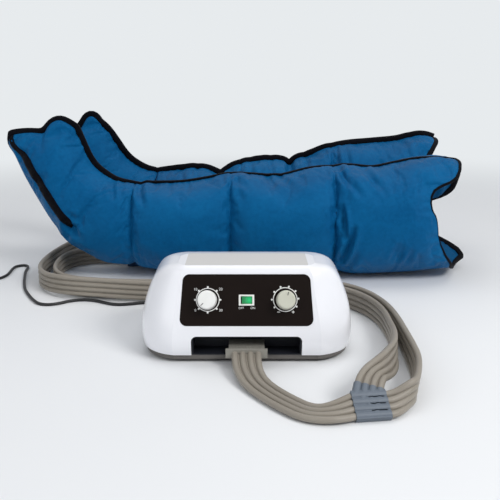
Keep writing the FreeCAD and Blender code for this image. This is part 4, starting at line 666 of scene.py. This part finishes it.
# lower x and z, upper x and z, half width, and how much narrower the upper side is
NEAR_BOOT = [
    (-426, 259, -309, 271, 4, 0.0), (-432, 246, -304, 258, 17, 0.3), (-420, 219, -297, 240, 34, 0.45),
    (-405, 185, -288, 219, 46, 0.5), (-382, 141, -276, 201, 54, 0.45), (-357, 98, -261, 188, 60, 0.35),
    (-332, 67, -245, 178, 63, 0.25), (-301, 43, -229, 173, 66, 0.15), (-262, 24, -217, 171, 69, 0.08),
    (-214, 13, -209, 170, 71, 0.04), (-160, 10, -158, 171, 78, 0), (-120, 6, -120, 173, 80, 0),
    (-74, 3, -74, 180, 80, 0), (-30, 4, -30, 189, 79, 0), (5, 2, 5, 187, 86, 0), (40, 2, 40, 185, 90, 0),
    (70, 2, 70, 187, 90, 0), (105, 2, 105, 196, 90, 0), (155, 5, 155, 202, 88, 0), (190, 3, 190, 203, 92, 0),
    (227, 4, 227, 200, 94, 0), (268, 6, 268, 208, 94, 0), (304, 8, 304, 215, 94, 0), (345, 12, 345, 216, 92, 0),
    (372, 14, 372, 213, 89, 0),
]
FAR_BOOT = [
    (-430, 243, -322, 267, 4, 0.0), (-430, 232, -312, 258.5, 17, 0.3), (-420, 212, -302, 247, 34, 0.45),
    (-405, 182, -289, 228, 46, 0.5), (-383, 141, -274, 205, 54, 0.45), (-360, 96, -258, 188, 60, 0.35),
    (-337, 64, -240, 176, 63, 0.25), (-303, 42, -225, 169, 66, 0.15), (-262, 24, -213, 166, 69, 0.08),
    (-214, 13, -205, 165, 71, 0.04), (-160, 8, -158, 170, 78, 0), (-124, 4, -124, 173, 80, 0),
    (-99, 2, -99, 170, 80, 0), (-82, 2, -82, 163, 80, 0), (-72, 3, -72, 159, 79, 0), (-62, 3, -62, 166, 79, 0),
    (-49, 3, -49, 175, 80, 0), (-32, 4, -32, 182, 81, 0), (1, 2, 1, 188, 87, 0), (34, 2, 34, 190, 90, 0),
    (56, 2, 56, 188, 90, 0), (70, 2, 70, 181, 89, 0), (84, 2, 84, 191, 90, 0), (109, 2, 109, 199, 90, 0),
    (146, 4, 146, 214, 88, 0), (179, 2, 179, 220, 92, 0), (244, 2, 244, 226, 94, 0), (293, 2, 293, 231, 94, 0),
    (320, 3, 320, 237, 94, 0), (337, 4, 337, 240, 93, 0), (352, 5, 352, 239, 91, 0), (372, 8, 371, 233, 89, 0),
]
SEAMS = (-207, -30, 155)    # x of the seams between the chambers
# the toe seam from the sole to the instep: x and z
NEAR_TOE = [(-426, 259), (-417, 261), (-403, 262.5), (-388, 263), (-368, 261), (-364, 263), (-360, 272),
            (-352, 280.5), (-342, 285.5), (-334, 285.5), (-326, 282), (-318, 277), (-309, 271)]
FAR_TOE = [(-430, 243), (-417, 246), (-400, 248), (-385, 249), (-369, 250), (-359, 255), (-353, 265), (-347, 275.5),
           (-341, 281), (-333.5, 281), (-327, 275.5), (-322, 267)]
# the open end: height from -1 to 1, and how far the edge stands out past the last ring, front and back
NEAR_MOUTH = [
    (-1.0, 0, 30), (-0.92, -1, 42), (-0.83, -4, 37), (-0.74, -11, 23), (-0.61, -21, -3), (-0.5, -27, -22),
    (-0.41, -32, -30), (-0.23, -39, -40), (-0.09, -40.5, -40), (0.05, -43, -35), (0.13, -46, -12), (0.17, -49, 2),
    (0.26, -53, 20), (0.36, -54.5, 28), (0.48, -52.5, 31), (0.57, -46, 32), (0.63, -34, 33), (0.69, -17, 32),
    (0.76, -6.5, 29), (0.87, 2, 21), (1.0, 8, 8),
]
FAR_MOUTH = [(-1.0, 0, 10), (-0.6, -20, 0), (-0.2, -42, -35), (0.3, -46, -25), (0.6, -36, -10), (0.73, -28, -4),
             (0.79, -23, -4), (0.89, -14, -4), (0.96, -6, -3), (1.0, -3, -3)]


def curve_through(rows, steps):
    """Smooth rows of numbers at even steps, by the mean way that their lower and upper ends go."""
    rows = np.array(rows, float)
    gaps = np.linalg.norm(np.diff(rows[:, :4], axis=0), axis=1) / math.sqrt(2)
    at = np.concatenate([[0], np.cumsum(gaps)])
    slopes = np.gradient(rows, at, axis=0)
    smooth = []
    for u in np.linspace(0, at[-1], steps):
        k = min(np.searchsorted(at, u, side="right") - 1, len(at) - 2)
        h = at[k + 1] - at[k]
        t = (u - at[k]) / h
        smooth.append((2 * t**3 - 3 * t**2 + 1) * rows[k] + (t**3 - 2 * t**2 + t) * h * slopes[k]
                      + (3 * t**2 - 2 * t**3) * rows[k + 1] + (t**3 - t**2) * h * slopes[k + 1])
    return np.array(smooth)


def envelope(stations):
    """Rings of points (x, across, z) round the boot in mm, each from its lowest point up the far side."""
    turn = 2 * np.pi * np.arange(RING) / RING - np.pi / 2
    c, s = np.cos(turn), np.sin(turn)
    rise = np.sign(s) * np.abs(s) ** 0.94
    side = np.sign(c) * np.abs(c) ** 0.86
    low, high = stations[:, 0:2], stations[:, 2:4]
    middle, up = (low + high) / 2, (high - low) / 2
    wide, taper = stations[:, 4:5], stations[:, 5:6]
    across = wide * side * (1 - taper * (rise + 1) / 2)
    return np.stack([middle[:, 0:1] + up[:, 0:1] * rise, across, middle[:, 1:2] + up[:, 1:2] * rise], axis=2), rise


def places_along(points, shares):
    """Places at shares of the length of a polyline."""
    points = np.array(points, float)
    at = np.concatenate([[0], np.cumsum(np.linalg.norm(np.diff(points, axis=0), axis=1))])
    return np.stack([np.interp(np.array(shares) * at[-1], at, points[:, n]) for n in range(points.shape[1])], axis=1)


def soften(values, times):
    """Evens out a row of places by their neighbours; the first and last stay."""
    values = np.array(values, float)
    for _ in range(times):
        values[1:-1] = (values[:-2] + 2 * values[1:-1] + values[2:]) / 4
    return values


def shape_boot(rows, toe, mouth):
    """The rings of a boot: drawn in at the seams, wavy at the toes and hollow at the open end."""
    stations = curve_through(rows, RINGS)
    rings, rise = envelope(stations)
    middle_x = (stations[:, 0] + stations[:, 2]) / 2
    centre = rings.mean(1, keepdims=True)
    for seam in SEAMS:
        away = (middle_x - seam)[:, None]
        pinch = sum(deep * np.exp(-(away / wide) ** 2) for deep, wide in SEAM_DRAWS)
        pinch = pinch * (1 - 0.85 * np.clip(rise, 0, 1) ** 6)[None, :]      # least along the top
        arms = rings - centre
        rings = centre + arms * (1 - pinch[:, :, None] / np.linalg.norm(arms, axis=2, keepdims=True))
    share = (rise + 1) / 2
    shift = places_along(toe, share) - rings[0][:, [0, 2]]
    for i in range(TOE_RINGS):
        fade = (1 - i / TOE_RINGS) ** 1.6
        rings[i, :, 0] += fade * shift[:, 0]
        rings[i, :, 2] += fade * shift[:, 1]
    table = np.array(mouth, float)
    front, back = np.interp(rise, table[:, 0], table[:, 1]), np.interp(rise, table[:, 0], table[:, 2])
    weight = 0.5 + 0.5 * np.clip(rings[-1, :, 1] / HALF_DEPTH, -1, 1)
    reach = front * (1 - weight) + back * weight
    for n in range(MOUTH_RINGS):
        fade = ((n + 1) / MOUTH_RINGS) ** 1.5
        rings[RINGS - MOUTH_RINGS + n, :, 0] += fade * reach
    return rings


def tube_faces(rings, count):
    """The faces of a tube of rings, open at both ends."""
    faces = []
    for i in range(rings - 1):
        for k in range(count):
            m = (k + 1) % count
            faces.append((i * count + k, i * count + m, (i + 1) * count + m, (i + 1) * count + k))
    return faces


def strip_faces(rings, count):
    """The faces of a tube whose ends are filled."""
    last = (rings - 1) * count
    return tube_faces(rings, count) + [tuple(range(count))[::-1], tuple(range(last, last + count))]


def boot_faces(rings):
    """The faces of a boot or its lining: a tube whose first ring is sewn together, side to side."""
    faces = tube_faces(rings, RING)
    for k in range(TOP):
        quad = []
        for v in (k, (RING - k) % RING, (RING - k - 1) % RING, k + 1):
            if v not in quad:
                quad.append(v)
        if len(quad) > 2:
            faces.append(tuple(quad))
    return faces


def to_frame(points):
    """Points in mm from the pump's centre, in the frame in metres."""
    return (np.array(points, float).reshape(-1, 3) + np.array(PUMP)) * MM


def inflate(obj, rings, held):
    """Blows a shell up as slack cloth held at some points, and returns its rings where they come to rest."""
    obj.vertex_groups.new(name="held").add(held, 1.0, "REPLACE")
    cloth = obj.modifiers.new("cloth", "CLOTH")
    settings = cloth.settings
    settings.quality = 5
    settings.mass = 0.12
    settings.tension_stiffness = settings.compression_stiffness = 14
    settings.shear_stiffness = 4
    settings.bending_stiffness = 0.12
    settings.use_pressure = True
    settings.uniform_pressure_force = 3.5
    settings.vertex_group_mass = "held"
    settings.shrink_min = -0.05
    settings.effector_weights.gravity = 0
    cloth.point_cache.frame_start, cloth.point_cache.frame_end = 1, FRAMES
    scene = bpy.context.scene
    for n in range(1, FRAMES + 1):
        scene.frame_set(n)
    made = obj.evaluated_get(bpy.context.evaluated_depsgraph_get()).to_mesh()
    moved = np.zeros(len(made.vertices) * 3)
    made.vertices.foreach_get("co", moved)
    obj.modifiers.remove(cloth)
    scene.frame_set(1)
    moved = moved.reshape(rings.shape) / MM - np.array(PUMP)
    step = moved - rings
    size = np.linalg.norm(step, axis=2, keepdims=True)
    return rings + step * np.minimum(1, FARTHEST / np.maximum(size, 1e-6))


# a flat band folded over an edge: (across, out), one unit wide and one high
TAPE = [(0.5 * squared(math.cos(a), 0.6), 0.5 + 0.5 * squared(math.sin(a), 0.6))
        for a in (2 * math.pi * n / 12 for n in range(12))]


def tape(name, path, outs, across, sizes):
    """Binding tape along a path, scaled at each point by its (width, height)."""
    points = []
    for spot, out, side, (wide, tall) in zip(path, outs, across, sizes):
        points += [spot + side * (u * wide) + out * (v * tall) for u, v in TAPE]
    return mesh_object(name, to_frame(points).tolist(), strip_faces(len(path), len(TAPE)), BINDING)


def edge_binding(side, rings):
    """Black tape over the toe seam and along the front of the leg, where the boot opens."""
    path = [rings[i, 0] for i in (9, 7, 5, 3)]
    path += [rings[0, k] * (1, 0, 1) + (0, rings[0, :, 1].mean(), 0) for k in range(0, TOP + 1, 2)]
    path += [rings[i, TOP] for i in range(3, RINGS - 1)]
    path = soften(path, 2)
    ahead = np.gradient(path, axis=0)
    ahead /= np.linalg.norm(ahead, axis=1, keepdims=True)
    outs = np.stack([-ahead[:, 2], np.zeros(len(path)), ahead[:, 0]], axis=1)
    outs /= np.linalg.norm(outs, axis=1, keepdims=True)
    across = np.tile([0.0, 1.0, 0.0], (len(path), 1))
    taper = np.interp(np.arange(len(path)), [0, 5], [0.12, 1])      # thin where it starts under the sole
    if side == "near":
        wide, tall = 8.5, np.interp(path[:, 0], [-260, -200, -120], [11, 8, 5])
    else:
        wide, tall = 10.0, 13.5
    wide, tall = wide * (0.4 + 0.6 * taper), tall * taper
    path = path - outs * np.minimum(tall, 9)[:, None] * 0.35
    return tape(f"{side}_boot_binding", path, outs, across, zip(wide, tall))


def surface_strip(name, rows, lift, mat):
    """A thin tape on a surface, over rows of (point, normal) across it."""
    points, count = [], len(rows[0]) + 2
    for row in rows:
        (a, a_out), (b, b_out) = row[0], row[-1]
        points += [a - a_out * 1.2, *(p + out * lift for p, out in row), b - b_out * 1.2]
    return mesh_object(name, to_frame(points).tolist(), strip_faces(len(rows), count), mat)


def ring_normals(rings):
    """Outward directions at every point of the rings."""
    ahead = np.gradient(rings, axis=0)
    around = np.roll(rings, -1, axis=1) - np.roll(rings, 1, axis=1)
    out = np.cross(around, ahead)
    out /= np.maximum(np.linalg.norm(out, axis=2, keepdims=True), 1e-9)
    facing = ((rings - rings.mean(1, keepdims=True)) * out).sum(2, keepdims=True)
    return out * np.sign(facing)


def on_ring(ring, normals, depth, half):
    """The place on a ring's front or back half that is so deep inside its lower edge, and its outward direction."""
    low, high = ring[0], ring[TOP]
    up = (high - low) / np.linalg.norm(high - low)
    indices = range(0, TOP + 1) if half > 0 else [(-k) % RING for k in range(0, TOP + 1)]
    depths = [(ring[k] - low) @ up for k in indices]
    spot = np.interp(depth, depths, np.arange(TOP + 1))
    k, share = int(spot), spot - int(spot)
    a, b = indices[k], indices[min(k + 1, TOP)]
    out = normals[a] * (1 - share) + normals[b] * share
    return ring[a] * (1 - share) + ring[b] * share, out / np.linalg.norm(out)


def sole_bands(side, rings, normals):
    """The black tape on each side of the sole, a little inside its edge."""
    bands = []
    sole = np.concatenate([[0], np.cumsum(np.linalg.norm(np.diff(rings[:, 0], axis=0), axis=1))])
    last = int(np.searchsorted(sole, SOLE))
    for half, word in ((-1, "front"), (1, "back")):
        rows = []
        for i in range(1, last):
            inner = np.interp(sole[i], [0, 55, SOLE], [1, 18, 30])
            wide = np.interp(sole[i], [0, 40, 204, SOLE], [4, 14, 14, 5])
            rows.append([on_ring(rings[i], normals[i], inner + wide * n / 4, half) for n in range(5)])
        bands.append(surface_strip(f"{side}_boot_sole_{word}", rows, 1.8, BINDING))
    return bands


def seam_lines(side, rings, normals):
    """The sewn line round the boot at each seam."""
    made = []
    for n, seam in enumerate(SEAMS, 1):
        shift = 0 if side == "near" else FAR_SHIFT
        i = int(np.abs(rings[:, :, 0].mean(1) - seam - shift).argmin())
        lines = []
        for k in list(range(RING)) + [0]:
            p, out = rings[i, k], normals[i, k]
            lines.append(((p + (-1.5, 0, 0), out), (p + (1.5, 0, 0), out)))
        made.append(surface_strip(f"{side}_boot_seam_{n}", lines, 0.25, THREAD))
    return made


def mouth_binding(side, rings, normals):
    """Black tape round the open end, turned in and thin along the hollow of the near boot's front."""
    edge, across = rings[-1], normals[-1] * (0.3, 1, 1)
    across /= np.linalg.norm(across, axis=1, keepdims=True)
    outs = np.cross(np.roll(edge, -1, axis=0) - np.roll(edge, 1, axis=0), across)
    outs /= np.linalg.norm(outs, axis=1, keepdims=True)
    outs *= np.sign((outs * (edge - rings[-4])).sum())
    depth = edge[:, 1] - edge[:, 1].mean()
    if side == "near":
        hidden = np.clip(-depth / HALF_DEPTH, 0, 1) * np.exp(-(((edge[:, 2] - 105) / 50) ** 2))
        behind = np.clip(depth / HALF_DEPTH, 0, 1)
        tall = 5.5 + 5.5 * behind - 4.6 * hidden
        wide = 4.2 + 2.6 * behind - 3.2 * hidden
    else:
        tall, wide = np.full(RING, 10.5), np.full(RING, 7.5)
    edge = edge - outs * tall[:, None] * 0.55
    closed = [np.concatenate([row, row[:1]]) for row in (edge, outs, across)]
    sizes = list(zip(wide, tall)) + [(wide[0], tall[0])]
    return tape(f"{side}_boot_mouth_binding", *closed, sizes)


def fold(rings, normals, x1, z1, x2, z2, wide, deep):
    """Presses a soft crease into the boot's front, with a low swell round it."""
    start, run = np.array([x1, z1], float), np.array([x2 - x1, z2 - z1], float)
    flat = rings[:, :, [0, 2]] - start
    share = np.clip((flat @ run) / (run @ run), 0, 1)
    away = np.linalg.norm(flat - share[..., None] * run, axis=2)
    taper = np.sin(np.pi * np.clip(share * 0.9 + 0.08, 0, 1)) ** 0.7
    crease = deep * np.exp(-(away / wide) ** 2) * taper
    swell = 0.45 * deep * np.exp(-((away - 2.2 * wide) / wide) ** 2) * taper
    facing = rings[:, :, 1] - rings[:, :, 1].mean(1, keepdims=True) < 0
    return rings - normals * ((crease - swell) * facing)[..., None]


# creases: x and z of both ends, width and depth
NEAR_FOLDS = [
    (163, 140, 171, 82, 4, 10), (184, 104, 166, 32, 4.2, 12), (-320, 104, -303, 80, 6, 7),
    (161, 201, 198, 160, 5, 6), (-318, 122, -304, 112, 5, 5), (192, 56, 180, 22, 4.5, 4),
    (199, 204, 238, 169, 5, 5), (168, 198, 176, 158, 4.5, 3.5), (214, 196, 226, 176, 4.5, 2.5),
    (-24, 186, 0, 170, 4.5, 3.5), (-22, 178, -8, 150, 4.5, 3), (36, 184, 50, 172, 4.5, 3), (56, 186, 76, 174, 4.5, 3),
    (-244, 172, -236, 148, 4.5, 3.5), (-228, 170, -224, 148, 4, 2.5), (-197, 172, -184, 140, 5, 5.5),
    (-198, 76, -196, 34, 4.5, 3.5), (-187, 66, -186, 28, 4.5, 3.5), (-176, 60, -176, 26, 4.5, 3),
    (-164, 54, -165, 24, 4.5, 2.5), (-214, 70, -218, 40, 4.5, 2.5), (262, 74, 254, 40, 4.5, 4),
    (272, 66, 263, 38, 4.5, 4), (288, 62, 282, 38, 4.5, 3.5), (-326, 78, -318, 118, 6, 4), (-314, 92, -306, 104, 5, 3),
    (332, 208, 337, 188, 5, 3), (-26, 60, -20, 30, 5, 3),
]
FAR_FOLDS = [
    (-78, 158, -74, 120, 6, 4), (-10, 186, -8, 150, 5, 3), (31, 187, 32, 160, 5, 4), (71, 181, 68, 150, 6, 5),
    (103, 195, 104, 165, 5, 4), (164, 214, 160, 180, 5, 4), (181, 215, 184, 186, 5, 4), (-150, 170, -146, 140, 5, 3),
    (300, 226, 306, 190, 5, 3), (-120, 172, -116, 140, 5, 3), (-52, 172, -50, 150, 5, 3), (256, 222, 262, 196, 5, 3),
]


def lining_of(side, rings):
    """The inner bag: from the open end down the leg, an air wall inside the skin."""
    inner = rings[LINING_FROM:RINGS - 1]
    centre = inner.mean(1, keepdims=True)
    depth = np.arange(len(inner))[::-1]
    draw = 1 - 0.015 - 0.31 * np.clip(depth / 22, 0, 1) ** 0.9      # just inside at the edge, then an air wall in
    scale = np.stack([np.ones_like(draw), draw, draw], axis=1)[:, None, :]
    inner = centre + (inner - centre) * scale
    return mesh_object(f"{side}_boot_lining", to_frame(inner).tolist(), boot_faces(len(inner)), LINING)


def boot(side, rows, toe, mouth, shift, middle, folds):
    """One boot: its skin blown up and creased, its tapes and seams, and its lining."""
    rings = shape_boot(rows, toe, mouth)
    skin = mesh_object(f"{side}_boot_skin", to_frame(rings).tolist(), boot_faces(RINGS), NYLON)
    held = [k for i in (0, 1, RINGS - 2, RINGS - 1) for k in range(i * RING, (i + 1) * RING)]
    held += [i * RING + TOP for i in range(RINGS)]
    held += [i * RING + k % RING for i in range(RINGS) for k in range(-HELD, HELD + 1)]
    middles = rings[:, :, 0].mean(1)
    for seam in SEAMS:
        i = int(np.abs(middles - seam).argmin())
        held += range(i * RING, (i + 1) * RING)
    rings = inflate(skin, rings, sorted(set(held)))
    normals = ring_normals(rings)
    for crease in folds:
        rings = fold(rings, normals, *crease)
    rings += (shift, middle, 0)
    rings[:, :, 2] = np.maximum(rings[:, :, 2], LOWEST)
    normals = ring_normals(rings)
    skin.data.vertices.foreach_set("co", to_frame(rings).ravel())
    skin.data.update()
    skin.modifiers.new("smooth", "SUBSURF")
    trims = [edge_binding(side, rings), mouth_binding(side, rings, normals), *sole_bands(side, rings, normals),
             *seam_lines(side, rings, normals)]
    lining = lining_of(side, rings)
    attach(skin, "case")
    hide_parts(*(f"{side}_boot_{part}_chamber" for part in ("foot", "calf", "knee", "thigh")))
    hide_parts(f"{side}_boot_zip")
    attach(lining, "case")
    for trim in trims:
        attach(trim, "case")


boot("near", NEAR_BOOT, NEAR_TOE, NEAR_MOUTH, 0, NEAR_MIDDLE, NEAR_FOLDS)
boot("far", FAR_BOOT, FAR_TOE, FAR_MOUTH, FAR_SHIFT, FAR_MIDDLE, FAR_FOLDS)
